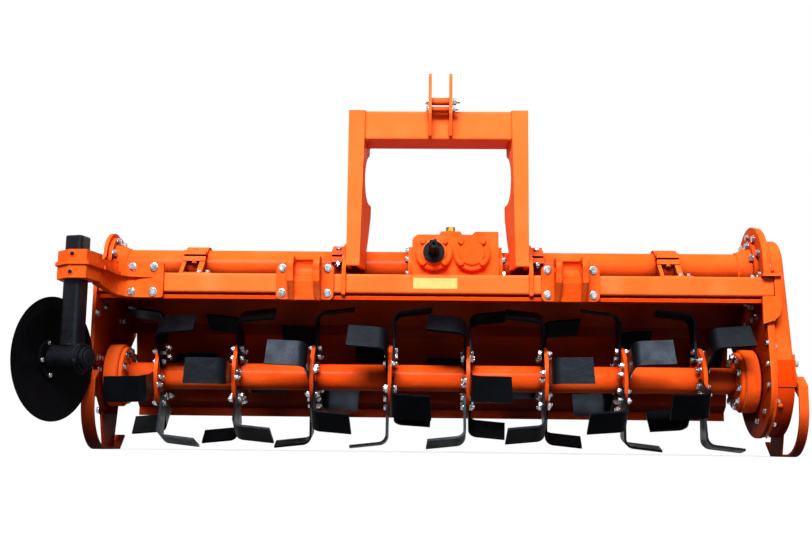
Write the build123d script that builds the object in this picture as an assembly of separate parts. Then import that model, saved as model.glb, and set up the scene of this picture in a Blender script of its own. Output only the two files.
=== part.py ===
from build123d import *
import os
from math import acos, atan2, cos, degrees, radians, sin, sqrt, tan

os.makedirs("parts", exist_ok=True)

# A tractor-mounted rotary tiller: a round main tube and a square toolbar between two end walls,
# a gearbox on the tube, a three-point headstock, a bladed rotor under a hood, a hinged rear board,
# two skids, and a disc coulter on one side.  All sizes are millimetres.
# While it is built, X = 0 is midway between the lower hitch brackets with +X towards the gear case,
# Y = 0 is the toolbar's front face with +Y rearwards, and Z = 0 is the floor.  The finished pieces
# are then moved together, so that the origin is under the middle of the machine, on the floor.

# ---------------------------------------------------------------- driving dimensions
END_SPACE_LEFT = 184.0       # from the outermost blade flange to the left end wall
END_SPACE_RIGHT = 188.0      # and to the right one
WALL_T = 12.0
LEFT_LOBE_TOP = 116.0        # left wall's radius round the main tube
LEFT_LOBE_LOW = 126.0        # and round the rotor
WALL_NOSE = 23.0             # left wall in front of the toolbar
WALL_NOSE_LOW = 302.0        # where that nose ends
REAR_LUG = 28.0              # walls past the rear board's hinge
LUG_DROP = 98.0              # and down to where they meet the lobe

ROTOR_Z = 250.0              # height of the rotor axis
TUBE_Y = 175.0               # plane of the main tube and the rotor axis
TUBE_Z = 625.0
TUBE_R = 60.0
TUBE_WALL = 10.0
COLLAR_R = 102.0             # bolted flange at each outer end of the tube
COLLAR_FLANGE_T = 14.0
COLLAR_NECK = 40.0
COLLAR_WELD = 24.0           # neck proud of the tube at the flange

BAR_DEPTH = 75.0             # toolbar, a rounded rectangular tube
BAR_HEIGHT = 65.0
BAR_BOTTOM = 516.0
BAR_WALL = 8.0
BAR_CORNER = 9.0
BAR_PAST_WALL = 24.0         # toolbar past the right wall's inner face

SWING_R = 241.0              # blade tip circle
ROTOR_TUBE_R = 44.5
ROTOR_TUBE_WALL = 10.0
FLANGE_COUNT = 8
FLANGE_PITCH = 260.0
FLANGE_MID_X = -25.0         # middle of the row of flanges
FLANGE_R = 110.0
FLANGE_T = 12.0
BLADES_PER_FLANGE = 6
BLADE_FIRST_DEG = -14.6      # first blade's angle above straight ahead
BLADE_STEP_DEG = 15.7        # from one flange to the next
BLADE_T = 8.0
BLADE_ROOT_R = 58.0
BLADE_SHANK_W = 62.0
BLADE_TIP_W = 84.0
BLADE_REACH = 133.0          # sideways, from the flange face to the tip
BLADE_BEND_R = 34.0
BLADE_OPEN_DEG = 6.5         # tip leg turned outwards from square
BLADE_TIP_SLANT = 3.5

DRUM_R = 105.5               # hub drums at the rotor's ends
DRUM_LENGTH = 48.0
DRUM_RING_R = 97.0
DRUM_RING_T = 15.0
DRUM_GAP = 6.0               # between a drum and its wall
STUB_R = 30.0                # rotor's stub shafts
STUB_CLEAR = 8.0             # round them in the walls
STUB_BORE = 40.0             # depth of the right stub's bore in the gear case
RUNNING_FIT = 0.05
END_GAP = 5.0                # past the end of a shaft in a blind bore
BEARING_R = 78.0
BEARING_T = 26.0
BEARING_CAP_R = 48.0
BEARING_CAP_T = 12.0

HITCH_SPACING = 870.0        # between the lower hitch brackets
HITCH_PIN_R = 14.25
HITCH_PIN_Y = -47.0
HITCH_PIN_Z = 596.0
HITCH_PLATE_T = 14.0
HITCH_PLATE_GAP = 26.5       # from a hanger to the bracket's plate
HITCH_PLATE_OUT = 94.5       # plate outboard of the bracket's middle
HITCH_PLATE_CORNER = 16.0
HITCH_PLATE_BOTTOM = 493.0
HITCH_PLATE_TOP = 611.0
HITCH_EAR_PITCH = 85.0
HITCH_EAR_T = 22.0
HITCH_EAR_ROUND = 6.0        # round along the cast ears' edges
HITCH_EAR_R = 36.0
HITCH_EAR_FOOT = 50.0        # front edge of an ear goes straight this far below the pin
HITCH_SADDLE = 26.0          # web between the ears, above the pin
HITCH_RECESS_R = 28.5        # room for the link's ball in that web

MAST_HEIGHT = 610.0          # top link pin above the lower hitch pins
TOP_PIN_R = 12.85
EAR_PITCH = 69.0
EAR_MID_X = 6.5
EAR_T = 10.0
EAR_W = 62.0
EAR_RISE = 50.0              # ears above the top pin
EAR_CUT = 14.0               # their slanted corners
SPACERS = ((23.0, 12.5), (-3.0, 8.5))  # height above the headstock and radius

HEAD_HALF = 302.0            # headstock, outer face of each upright
HEAD_BELOW_PIN = 65.0        # top of the headstock under the top link pin
HEAD_BEAM_H = 100.0
HEAD_BEAM_D = 125.0
HEAD_BEAM_SET = 8.0          # crossbeam behind the uprights' front faces
HEAD_FOOT_Z = 610.0
HEAD_PLATE_T = 12.0
UPRIGHT_W_TOP = 55.0
UPRIGHT_W_FOOT = 44.0
WEB_T = 12.0
WEB_TOE_DEG = 7.3
WEB_DEPTH_TOP = 125.0
WEB_DEPTH_LOW = 168.0
WEB_NOTCH_R = 83.0
WEB_NOTCH_Z = 925.0
WEB_NOTCH_DEPTH = 43.0
OUTER_WEB_DEPTH = 92.0

HANGER_T = 12.0              # plates that carry the headstock on toolbar and tube
CLAMP_W = 44.0
CLAMP_R = 78.0
CLAMP_SLOT = 8.0
CLAMP_LUG = 14.0             # bolt lugs past the ring
CLAMP_LUG_H = 24.0           # half their height
CLAMP_SPLIT_DEG = 20.0       # its split rises forwards
HANGER_NOSE = 15.0           # hanger in front of the toolbar
SADDLE_FROM_LEFT = 293.0     # saddles' middles from the end walls
SADDLE_FROM_RIGHT = 296.0
SADDLE_W = 76.0
SADDLE_T = 11.0              # saddle's band round the tube
SADDLE_SPLIT_DEG = 20.0      # its front lugs are raised by this
SADDLE_LUG = 28.0            # lugs past the tube
SADDLE_LUG_H = 21.0          # half their height
SADDLE_SLOT = 8.0
SADDLE_LEG = 12.0            # thickness of the left leg
SADDLE_LEG_WIDE = 18.0       # and of the right leg
SADDLE_FOOT_T = 6.0
SADDLE_FOOT_OUT = 32.0       # foot past the right leg

GEARBOX_LEFT = -85.0
GEARBOX_RIGHT = 207.0
GEARBOX_FRONT = 85.0
GEARBOX_DEPTH = 182.0
GEARBOX_BOTTOM = 553.0
GEARBOX_TOP = 731.0
INPUT_X = -12.0
INPUT_Z = 666.0
COVER_PITCH = 128.0
COVER_R = 62.0
COVER_T = 20.0
SEAL_R = 36.0
SEAL_T = 17.0
PTO_R = 17.5
PTO_TIP_Y = -95.0
PTO_CHAMFER = 2.0
PTO_CENTRE_R = 5.0           # centre hole in the shaft's tip
PTO_CENTRE_DEPTH = 12.0
PTO_JOURNAL_R = 21.0         # behind the splined end
PTO_SHOULDER = 4.0           # journal proud of the seal collar
PTO_BORE = 60.0              # depth of its bore in the gearbox
GEARBOX_FLANGE_R = 77.0
GEARBOX_FLANGE_T = 14.0
GEARBOX_FLANGE_IN = 30.0     # flanges' roots inside the body
GEARBOX_CORNER = 26.0
RAISED_W = 90.0              # raised part of the top, at the right
RAISED_H = 12.0
RAISED_SLANT = 10.0          # its left side leans
RAISED_SET = (8.0, 30.0)     # behind the front face and in front of the rear one
FILLER_X = 45.0              # boss under the breather
FILLER_W = 78.0
FILLER_W_TOP = 66.0
FILLER_D = 70.0
FILLER_FRONT = 25.0
FILLER_H = 16.0
BREATHER_R = 11.0
BREATHER_HEX_R = 16.0
BREATHER_NECK = 5.0
BREATHER_HEX_H = 15.0
BLANK_BOSS_R = 42.0
BLANK_BOSS_T = 6.0
COVER_CHAMFER = 4.0
REAR_COVER_R = 68.0
REAR_COVER_T = 18.0

GEAR_CASE_DEPTH = 82.0       # gear case's outer face past the right wall's inner face
GEAR_FLANGE_T = 11.0
WALL_LOBE_RIGHT = 152.0
WALL_LOBE_LOW = 190.0
CASE_LOBE_TOP = 105.0
CASE_LOBE_LOW = 178.0

GEAR_FLANGE_INSET = 3.0      # gear case flange inside the wall's edge
CASE_ROUND = 12.0
GUARD_T = 8.0                # guard band round the gear case's nose
GUARD_T_TOP = 12.0
GUARD_W = 52.0
GUARD_W_TOP = 57.0
GUARD_END_DEG = (-95.0, -8.0, 19.0)  # foot, step and top, up from straight ahead

END_CAP_T = 13.0             # cap on the toolbar's right end
END_CAP_REAR = 34.0
END_CAP_TOP = 22.0           # above the toolbar
END_FACE_T = 12.0            # plate in front of the right wall's edge
END_FACE_LEFT = 40.0         # inboard of the toolbar's end
END_FACE_RIGHT = 21.0        # outboard of it
END_FACE_DROP = 90.0         # below the toolbar
END_FACE_CURVE = 60.0        # height of its rounded lower corner
END_LIP_T = 9.0
END_LIP_OUT = 14.0           # lip in front of the toolbar

HOOD_T = 5.0
HOOD_TOP = 546.0
HOOD_LIP_BOTTOM = 499.0
HOOD_REAR_Y = 350.0
HOOD_APRON = 40.0            # upright strip under the hood's rear edge
HINGE_Y = 458.0
HINGE_Z = 452.0
HINGE_PIN_R = 8.0
KNUCKLE_R = 15.0
KNUCKLE_W = 60.0
KNUCKLE_GAP = 2.0
HINGE_FROM_WALL = 170.0      # outer hinges' middles from the end walls
HINGE_STRAP_T = 6.0
BOARD_T = 5.0
BOARD_BOTTOM = 125.0
BOARD_REAR_Y = 530.0
BOARD_SIDE_GAP = 7.0
BOARD_LIP = 30.0             # upright lower lip
BOARD_FOLD_RUN = 34.0        # fold above it, rearwards and down
BOARD_FOLD_DROP = 24.0
BOARD_START = 7.0            # board's edge past the knuckles
BOARD_STRAP = 40.0           # hinge straps down the board

SKID_W_LEFT = 43.0
SKID_OUT_LEFT = 20.0         # strap past the left wall's outer face
SKID_W_RIGHT = 30.0
SKID_OUT_RIGHT = 32.0        # and past the gear case's
SKID_T = 8.0
SKID_FRONT_Y = -22.0
SKID_FLAT_END = 305.0
SKID_BEND_R = 160.0
SKID_FOLD_Z = 227.0          # where the strap's top end turns back
SKID_HEAD_RUN = 42.0         # that end, lengthwise
SKID_HEAD_RISE = 31.0
SKID_WEB_T = 8.0
SKID_REAR_RUN = 52.0         # upturned rear end, lengthwise
SKID_REAR_RISE = 46.0
WEB_FRONT_W = 100.0          # front web, back from the strap
WEB_FRONT_LOW = 190.0
WEB_FRONT_TOP = 330.0
WEB_REAR_MID = 22.0          # middle of the rear web, behind the rotor axis
WEB_REAR_W = 130.0           # its width at the top
ARM_LOW = (60.0, 250.0)      # rear arm of the left web, from the flat's end: lower and upper corner
ARM_HIGH = (-5.0, 290.0)

COULTER_OUT = 4.0            # shank axis outboard of the left wall's inner face
COULTER_Y = -225.0
SHANK_W = 60.0
SHANK_CORNER = 12.0
SHANK_TURN_DEG = -14.0       # the square post faces a little outboard
SHANK_TOP = 657.0
SHANK_CLEAR = 0.4
CLAMP_BOX = [(-58, -10), (-8, -56), (47, -56), (64, 35), (64, 56), (-58, 56)]  # round the shank axis
CLAMP_BOX_BOTTOM = 520.0
CLAMP_BOX_TOP = 608.0
CLAMP_BOX_ROUND = 8.0
ARM_PLATE_FROM_WALL = 61.0
ARM_PLATE_W = 155.0
ARM_PLATE_T = 14.0
ARM_PLATE_H = 119.0
ARM_PLATE_RISE = 7.0         # plate's middle above the toolbar's
ARM_PLATE_ROUND = 9.0
ARM_END_Y = -180.0           # the arm's web runs from the plate to here, in the clamp
ARM_END_LOW = 514.0
ARM_END_HIGH = 594.0
ARM_WEB = [(0, 0), (62, 0), (34, -10), (14, -32), (5, -66), (0, -166), (-28, -166)]  # plan, from the plate
ARM_RIB = [(0, 0), (128, 0), (78, -8), (44, -20), (26, -44), (17, -78), (12, -166), (-28, -166)]
ARM_RIB_H = 11.0
ARM_RIB_Z = 567.0
ARM_RIB_OUT = 7.0            # proud of the clamp's faces
DISC_Z = 275.0
DISC_R = 192.0
DISC_T = 6.0
DISC_DISH = 18.0
DISC_ANGLE_DEG = 20.0
DISC_OFFSET = 79.0           # disc outboard of the shank axis, along the disc's axle
DISC_FORWARD = 13.2          # the axle passes this far in front of the shank axis
HUB_R = 42.0
HUB_LENGTH = 114.0
HUB_START = 22.0             # along the axle from the disc
HUB_FLANGE_R = 62.0
HUB_GAP = 5.0                # between the turning flange and the hub
HUB_CAP_T = 12.0
HUB_END_WALL = 20.0          # beyond the axle's bore
AXLE_R = 16.0

# ---------------------------------------------------------------- worked out from them
FLANGE_X = [FLANGE_MID_X + (i - (FLANGE_COUNT - 1) / 2) * FLANGE_PITCH for i in range(FLANGE_COUNT)]
WALL_IN_LEFT = FLANGE_X[0] - END_SPACE_LEFT
WALL_IN_RIGHT = FLANGE_X[-1] + END_SPACE_RIGHT
BAR_RIGHT = WALL_IN_RIGHT + BAR_PAST_WALL
GEAR_CASE_OUT = WALL_IN_RIGHT + GEAR_CASE_DEPTH
SADDLE_X = (WALL_IN_LEFT + SADDLE_FROM_LEFT, WALL_IN_RIGHT - SADDLE_FROM_RIGHT)
HINGE_X = (WALL_IN_LEFT + HINGE_FROM_WALL, FLANGE_MID_X, WALL_IN_RIGHT - HINGE_FROM_WALL)
COULTER_X = WALL_IN_LEFT - COULTER_OUT
ARM_PLATE_LEFT = WALL_IN_LEFT + ARM_PLATE_FROM_WALL
ARM_PLATE_RIGHT = ARM_PLATE_LEFT + ARM_PLATE_W
BAR_TOP = BAR_BOTTOM + BAR_HEIGHT
BAR_MID_Z = BAR_BOTTOM + BAR_HEIGHT / 2
WALL_OUT_LEFT = WALL_IN_LEFT - WALL_T
WALL_OUT_RIGHT = WALL_IN_RIGHT + WALL_T
HITCH_HALF = HITCH_SPACING / 2
TOP_PIN_Z = HITCH_PIN_Z + MAST_HEIGHT
HEAD_TOP = TOP_PIN_Z - HEAD_BELOW_PIN
GEARBOX_MID_X = (GEARBOX_LEFT + GEARBOX_RIGHT) / 2
COVER_FRONT = GEARBOX_FRONT - COVER_T
PTO_SHOULDER_Y = COVER_FRONT - SEAL_T - PTO_SHOULDER
HOOD_EDGE = (HINGE_Y - 20, HINGE_Z + 8)
CASE_FACE = WALL_OUT_RIGHT + GEAR_FLANGE_T
DISC_ANGLE = radians(DISC_ANGLE_DEG)
AXLE_DIR = Vector(cos(DISC_ANGLE), -sin(DISC_ANGLE), 0)
DISC_CENTRE = Vector(COULTER_X, COULTER_Y - DISC_FORWARD, DISC_Z) - AXLE_DIR * DISC_OFFSET

PIECES = {}


# ---------------------------------------------------------------- helpers
def block(x0, x1, y0, y1, z0, z1):
    return Pos((x0 + x1) / 2, (y0 + y1) / 2, (z0 + z1) / 2) * Box(x1 - x0, y1 - y0, z1 - z0)


def rod_x(radius, x0, x1, y, z):
    return Pos((x0 + x1) / 2, y, z) * Rot(0, 90, 0) * Cylinder(radius, x1 - x0)


def rod_y(radius, y0, y1, x, z):
    return Pos(x, (y0 + y1) / 2, z) * Rot(90, 0, 0) * Cylinder(radius, y1 - y0)


def rod_z(radius, z0, z1, x, y):
    return Pos(x, y, (z0 + z1) / 2) * Cylinder(radius, z1 - z0)


def face_of(points):
    return make_face(Polyline(*points, close=True))


def plate_yz(face, x0, x1):
    """A plate across the machine's width, from an outline in (Y, Z)."""
    return extrude(Plane(origin=(x0, 0, 0), x_dir=(0, 1, 0), z_dir=(1, 0, 0)) * face, x1 - x0, dir=(1, 0, 0))


def plate_xz(face, y0, y1):
    """A plate facing forwards, from an outline in (X, Z)."""
    return extrude(Plane(origin=(0, y0, 0), x_dir=(1, 0, 0), z_dir=(0, -1, 0)) * face, y1 - y0, dir=(0, 1, 0))


def plate_xy(face, z0, z1):
    """A level plate, from an outline in (X, Y)."""
    return extrude(Pos(0, 0, z0) * face, z1 - z0, dir=(0, 0, 1))


def two_lobes(centre_a, radius_a, centre_b, radius_b):
    """Outline of a belt round two circles."""
    across = centre_b[0] - centre_a[0]
    along = centre_b[1] - centre_a[1]
    heading = atan2(along, across)
    spread = acos((radius_a - radius_b) / sqrt(across**2 + along**2))
    corners = []
    for centre, radius, side in (
        (centre_a, radius_a, 1),
        (centre_a, radius_a, -1),
        (centre_b, radius_b, -1),
        (centre_b, radius_b, 1),
    ):
        angle = heading + side * spread
        corners.append((centre[0] + radius * cos(angle), centre[1] + radius * sin(angle)))
    return face_of(corners) + Pos(*centre_a) * Circle(radius_a) + Pos(*centre_b) * Circle(radius_b)


def mirrored(shape):
    return mirror(shape, about=Plane.YZ)


def rounded(face, radius):
    """The outline with its corners rounded."""
    return fillet(face.vertices(), radius)


# ---------------------------------------------------------------- frame
def toolbar():
    outer = Pos(BAR_DEPTH / 2, BAR_MID_Z) * RectangleRounded(BAR_DEPTH, BAR_HEIGHT, BAR_CORNER)
    inner = Pos(BAR_DEPTH / 2, BAR_MID_Z) * RectangleRounded(
        BAR_DEPTH - 2 * BAR_WALL, BAR_HEIGHT - 2 * BAR_WALL, BAR_CORNER / 3
    )
    return plate_yz(outer - inner, WALL_IN_LEFT, BAR_RIGHT)


def tube_collar(wall_x, side):
    """The bolted flange and weld neck at a tube's outer end."""
    flange_x = wall_x + side * COLLAR_FLANGE_T
    neck = Plane(origin=(flange_x, TUBE_Y, TUBE_Z), z_dir=(side, 0, 0)) * Pos(0, 0, COLLAR_NECK / 2)
    cone = neck * Cone(TUBE_R + COLLAR_WELD, TUBE_R + COLLAR_WELD / 8, COLLAR_NECK)
    low, high = sorted((wall_x, flange_x))
    return cone + rod_x(COLLAR_R, low, high, TUBE_Y, TUBE_Z)


def main_tube(x0, x1, collar_x, side):
    tube = rod_x(TUBE_R, x0, x1, TUBE_Y, TUBE_Z) + tube_collar(collar_x, side)
    return tube - rod_x(TUBE_R - TUBE_WALL, x0, x1, TUBE_Y, TUBE_Z)


def wall_lug():
    """Rear end of a wall's outline, round the rear board's hinge, from the bottom up."""
    return [
        (HINGE_Y - 1.7 * REAR_LUG, HINGE_Z - LUG_DROP),
        (HINGE_Y + REAR_LUG, HINGE_Z - 1.3 * REAR_LUG),
        (HINGE_Y + REAR_LUG, HINGE_Z + REAR_LUG),
        (HOOD_REAR_Y + 0.6 * REAR_LUG, HOOD_TOP + REAR_LUG),
    ]


def left_wall():
    shoulder = LEFT_LOBE_TOP * 0.95
    outline = [
        (TUBE_Y - shoulder, TUBE_Z + WALL_NOSE),
        (-WALL_NOSE / 2, BAR_TOP + WALL_NOSE),
        (-WALL_NOSE, BAR_MID_Z),
        (-WALL_NOSE, WALL_NOSE_LOW + WALL_NOSE),
        (-WALL_NOSE * 0.8, WALL_NOSE_LOW),
        (TUBE_Y - LEFT_LOBE_LOW, ROTOR_Z + WALL_NOSE / 2),
        (TUBE_Y - LEFT_LOBE_LOW, ROTOR_Z),
        (TUBE_Y + 0.8 * LEFT_LOBE_LOW, ROTOR_Z - 0.6 * LEFT_LOBE_LOW),
        *wall_lug(),
        (TUBE_Y + shoulder, TUBE_Z + WALL_NOSE),
    ]
    face = face_of(outline) + Pos(TUBE_Y, TUBE_Z) * Circle(LEFT_LOBE_TOP)
    face += Pos(TUBE_Y, ROTOR_Z) * Circle(LEFT_LOBE_LOW)
    wall = plate_yz(face, WALL_OUT_LEFT, WALL_IN_LEFT)
    return wall - rod_x(STUB_R + STUB_CLEAR, WALL_OUT_LEFT, WALL_IN_LEFT, TUBE_Y, ROTOR_Z)


def bearing_housing():
    x0, x1 = WALL_OUT_LEFT - BEARING_T, WALL_OUT_LEFT
    body = rod_x(BEARING_R, x0, x1, TUBE_Y, ROTOR_Z)
    cap = rod_x(BEARING_CAP_R, x0 - BEARING_CAP_T, x0, TUBE_Y, ROTOR_Z)
    housing = fillet((body + cap).edges().filter_by(GeomType.CIRCLE).group_by(Axis.X)[0], 4)
    return housing - rod_x(STUB_R + RUNNING_FIT, x0, x1, TUBE_Y, ROTOR_Z)


def toolbar_passage(x0, x1):
    return block(x0, x1, 0, BAR_DEPTH, BAR_BOTTOM, BAR_TOP)


def right_wall():
    face = two_lobes((TUBE_Y, TUBE_Z), WALL_LOBE_RIGHT, (TUBE_Y, ROTOR_Z), WALL_LOBE_LOW)
    inside = WALL_LOBE_RIGHT / 4
    low = (TUBE_Y + inside, ROTOR_Z - 1.5 * inside)
    high = (TUBE_Y + inside, TUBE_Z + inside)
    wall = plate_yz(face + face_of([low, *wall_lug(), high]), WALL_IN_RIGHT, WALL_OUT_RIGHT)
    wall -= rod_x(STUB_R + STUB_CLEAR, WALL_IN_RIGHT, WALL_OUT_RIGHT, TUBE_Y, ROTOR_Z)
    return wall - toolbar_passage(WALL_IN_RIGHT, WALL_OUT_RIGHT)


def case_outline():
    return two_lobes((TUBE_Y, TUBE_Z), CASE_LOBE_TOP, (TUBE_Y, ROTOR_Z), CASE_LOBE_LOW)


def gear_case():
    flange_top = WALL_LOBE_RIGHT - GEAR_FLANGE_INSET
    flange_low = WALL_LOBE_LOW - GEAR_FLANGE_INSET
    flange_face = two_lobes((TUBE_Y, TUBE_Z), flange_top, (TUBE_Y, ROTOR_Z), flange_low)
    flange = plate_yz(flange_face, WALL_OUT_RIGHT, CASE_FACE)
    body = plate_yz(case_outline(), CASE_FACE, GEAR_CASE_OUT)
    body = fillet(body.faces().sort_by(Axis.X)[-1].edges(), CASE_ROUND)
    case = flange + body - toolbar_passage(WALL_OUT_RIGHT, BAR_RIGHT)
    bore_end = WALL_OUT_RIGHT + STUB_BORE
    return case - rod_x(STUB_R + RUNNING_FIT, WALL_OUT_RIGHT, bore_end, TUBE_Y, ROTOR_Z)


def end_plate():
    """Cap on the toolbar's right end, with a plate in front of the wall's edge and a lip on top."""
    cap = face_of(
        [
            (-END_FACE_T, BAR_TOP + END_CAP_TOP),
            (END_CAP_REAR, BAR_TOP + END_CAP_TOP),
            (END_CAP_REAR, BAR_BOTTOM - END_CAP_TOP),
            (-END_FACE_T, BAR_BOTTOM - END_CAP_TOP),
        ]
    )
    piece = plate_yz(cap, BAR_RIGHT, BAR_RIGHT + END_CAP_T)
    left, right = BAR_RIGHT - END_FACE_LEFT, BAR_RIGHT + END_FACE_RIGHT
    foot = BAR_BOTTOM - END_FACE_DROP
    width = right - left
    front = face_of(
        [
            (BAR_RIGHT, BAR_TOP + END_CAP_TOP),
            (right, BAR_TOP + END_CAP_TOP),
            (right, foot + END_FACE_CURVE),
            (right - 0.12 * width, foot + 0.5 * END_FACE_CURVE),
            (right - 0.4 * width, foot + 0.2 * END_FACE_CURVE),
            (left, foot),
            (left, BAR_BOTTOM),
            (BAR_RIGHT, BAR_BOTTOM),
        ]
    )
    piece += plate_xz(front, -END_FACE_T, 0)
    return piece + block(left, right, -END_FACE_T - END_LIP_OUT, END_FACE_T, BAR_TOP, BAR_TOP + END_LIP_T)


def ring_part(inner, outer, low_deg, high_deg):
    """Part of a ring round the rotor axis, between two angles up from straight ahead, in (Y, Z)."""
    corners = [(TUBE_Y, ROTOR_Z)]
    for angle in (low_deg, (low_deg + high_deg) / 2, high_deg):
        turn = radians(angle)
        corners.append((TUBE_Y - 2 * outer * cos(turn), ROTOR_Z + 2 * outer * sin(turn)))
    ring = Circle(outer) - Circle(inner)
    return (Pos(TUBE_Y, ROTOR_Z) * ring) & face_of(corners)


def case_guard():
    """Guard band round the gear case's nose, thicker above."""
    foot, step, top = GUARD_END_DEG
    low = ring_part(CASE_LOBE_LOW, CASE_LOBE_LOW + GUARD_T, foot, step)
    high = ring_part(CASE_LOBE_LOW, CASE_LOBE_LOW + GUARD_T_TOP, step, top)
    band = plate_yz(low - case_outline(), CASE_FACE, CASE_FACE + GUARD_W)
    return band + plate_yz(high - case_outline(), CASE_FACE, CASE_FACE + GUARD_W_TOP)


# ---------------------------------------------------------------- gearbox
def gearbox():
    width = GEARBOX_RIGHT - GEARBOX_LEFT
    height = GEARBOX_TOP - GEARBOX_BOTTOM
    face = Pos(GEARBOX_MID_X, GEARBOX_BOTTOM + height / 2) * RectangleRounded(width, height, GEARBOX_CORNER)
    y0, y1 = GEARBOX_FRONT, GEARBOX_FRONT + GEARBOX_DEPTH
    body = plate_xz(face, y0, y1)
    raised_y0, raised_y1 = y0 + RAISED_SET[0], y1 - RAISED_SET[1]
    raised_z0, raised_z1 = GEARBOX_TOP - GEARBOX_CORNER - RAISED_H, GEARBOX_TOP + RAISED_H
    raised = face_of(
        [
            (GEARBOX_RIGHT - RAISED_W, raised_z0),
            (GEARBOX_RIGHT - RAISED_W, raised_z1 - RAISED_H),
            (GEARBOX_RIGHT - RAISED_W + RAISED_SLANT, raised_z1),
            (GEARBOX_RIGHT, raised_z1),
            (GEARBOX_RIGHT, raised_z0),
        ]
    )
    body += plate_xz(raised, raised_y0, raised_y1)
    boss = face_of(
        [
            (FILLER_X - FILLER_W / 2, GEARBOX_TOP - RAISED_H),
            (FILLER_X - FILLER_W / 2, GEARBOX_TOP + FILLER_H / 4),
            (FILLER_X - FILLER_W_TOP / 2, GEARBOX_TOP + FILLER_H),
            (FILLER_X + FILLER_W_TOP / 2, GEARBOX_TOP + FILLER_H),
            (FILLER_X + FILLER_W / 2, GEARBOX_TOP + FILLER_H / 4),
            (FILLER_X + FILLER_W / 2, GEARBOX_TOP - RAISED_H),
        ]
    )
    body += plate_xz(boss, y0 + FILLER_FRONT, y0 + FILLER_FRONT + FILLER_D)
    for x0, x1 in (
        (GEARBOX_LEFT - GEARBOX_FLANGE_T, GEARBOX_LEFT + GEARBOX_FLANGE_IN),
        (GEARBOX_RIGHT - GEARBOX_FLANGE_IN, GEARBOX_RIGHT + GEARBOX_FLANGE_T),
    ):
        body += rod_x(GEARBOX_FLANGE_R, x0, x1, TUBE_Y, TUBE_Z)
    body += rod_y(REAR_COVER_R, y1 - REAR_COVER_T, y1 + REAR_COVER_T, INPUT_X + COVER_PITCH / 2, INPUT_Z)
    return body - rod_y(PTO_JOURNAL_R + RUNNING_FIT, y0, y0 + PTO_BORE, INPUT_X, INPUT_Z)


def input_cover():
    cover = rod_y(COVER_R, COVER_FRONT, GEARBOX_FRONT, INPUT_X, INPUT_Z)
    cover = chamfer(cover.edges().group_by(Axis.Y)[0], COVER_CHAMFER)
    return cover - rod_y(PTO_JOURNAL_R + RUNNING_FIT, COVER_FRONT, GEARBOX_FRONT, INPUT_X, INPUT_Z)


def blank_cover():
    x = INPUT_X + COVER_PITCH
    cover = rod_y(COVER_R, COVER_FRONT, GEARBOX_FRONT, x, INPUT_Z)
    cover = chamfer(cover.edges().group_by(Axis.Y)[0], COVER_CHAMFER)
    return cover + rod_y(BLANK_BOSS_R, COVER_FRONT - BLANK_BOSS_T, COVER_FRONT, x, INPUT_Z)


def seal_collar():
    y0 = COVER_FRONT - SEAL_T
    collar = rod_y(SEAL_R, y0, COVER_FRONT, INPUT_X, INPUT_Z)
    return collar - rod_y(PTO_JOURNAL_R + RUNNING_FIT, y0, COVER_FRONT, INPUT_X, INPUT_Z)


def breather_cap():
    z0 = GEARBOX_TOP + FILLER_H
    y = GEARBOX_FRONT + FILLER_FRONT + FILLER_D / 2
    z1 = z0 + BREATHER_NECK
    hexagon = Pos(FILLER_X, y) * RegularPolygon(BREATHER_HEX_R, 6)
    return rod_z(BREATHER_R, z0, z1, FILLER_X, y) + plate_xy(hexagon, z1, z1 + BREATHER_HEX_H)


def pto_shaft():
    inner_end = GEARBOX_FRONT + PTO_BORE - END_GAP
    tip = rod_y(PTO_R, PTO_TIP_Y, PTO_SHOULDER_Y, INPUT_X, INPUT_Z)
    tip -= rod_y(PTO_CENTRE_R, PTO_TIP_Y, PTO_TIP_Y + PTO_CENTRE_DEPTH, INPUT_X, INPUT_Z)
    rims = tip.edges().filter_by(GeomType.CIRCLE).group_by(Axis.Y)[0]
    tip = chamfer(rims.sort_by(SortBy.RADIUS)[-1:], PTO_CHAMFER)
    return tip + rod_y(PTO_JOURNAL_R, PTO_SHOULDER_Y, inner_end, INPUT_X, INPUT_Z)


# ---------------------------------------------------------------- headstock
def crossbeam():
    half = HEAD_HALF - UPRIGHT_W_TOP
    mid_z = HEAD_TOP - HEAD_BEAM_H / 2
    mid_y = HEAD_BEAM_SET + HEAD_BEAM_D / 2
    outer = Pos(mid_y, mid_z) * RectangleRounded(HEAD_BEAM_D, HEAD_BEAM_H, 8)
    inner = Pos(mid_y, mid_z) * RectangleRounded(HEAD_BEAM_D - 16, HEAD_BEAM_H - 16, 3)
    beam = plate_yz(outer - inner, -half, half)
    post = upright()
    return beam - post - mirrored(post)


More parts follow.
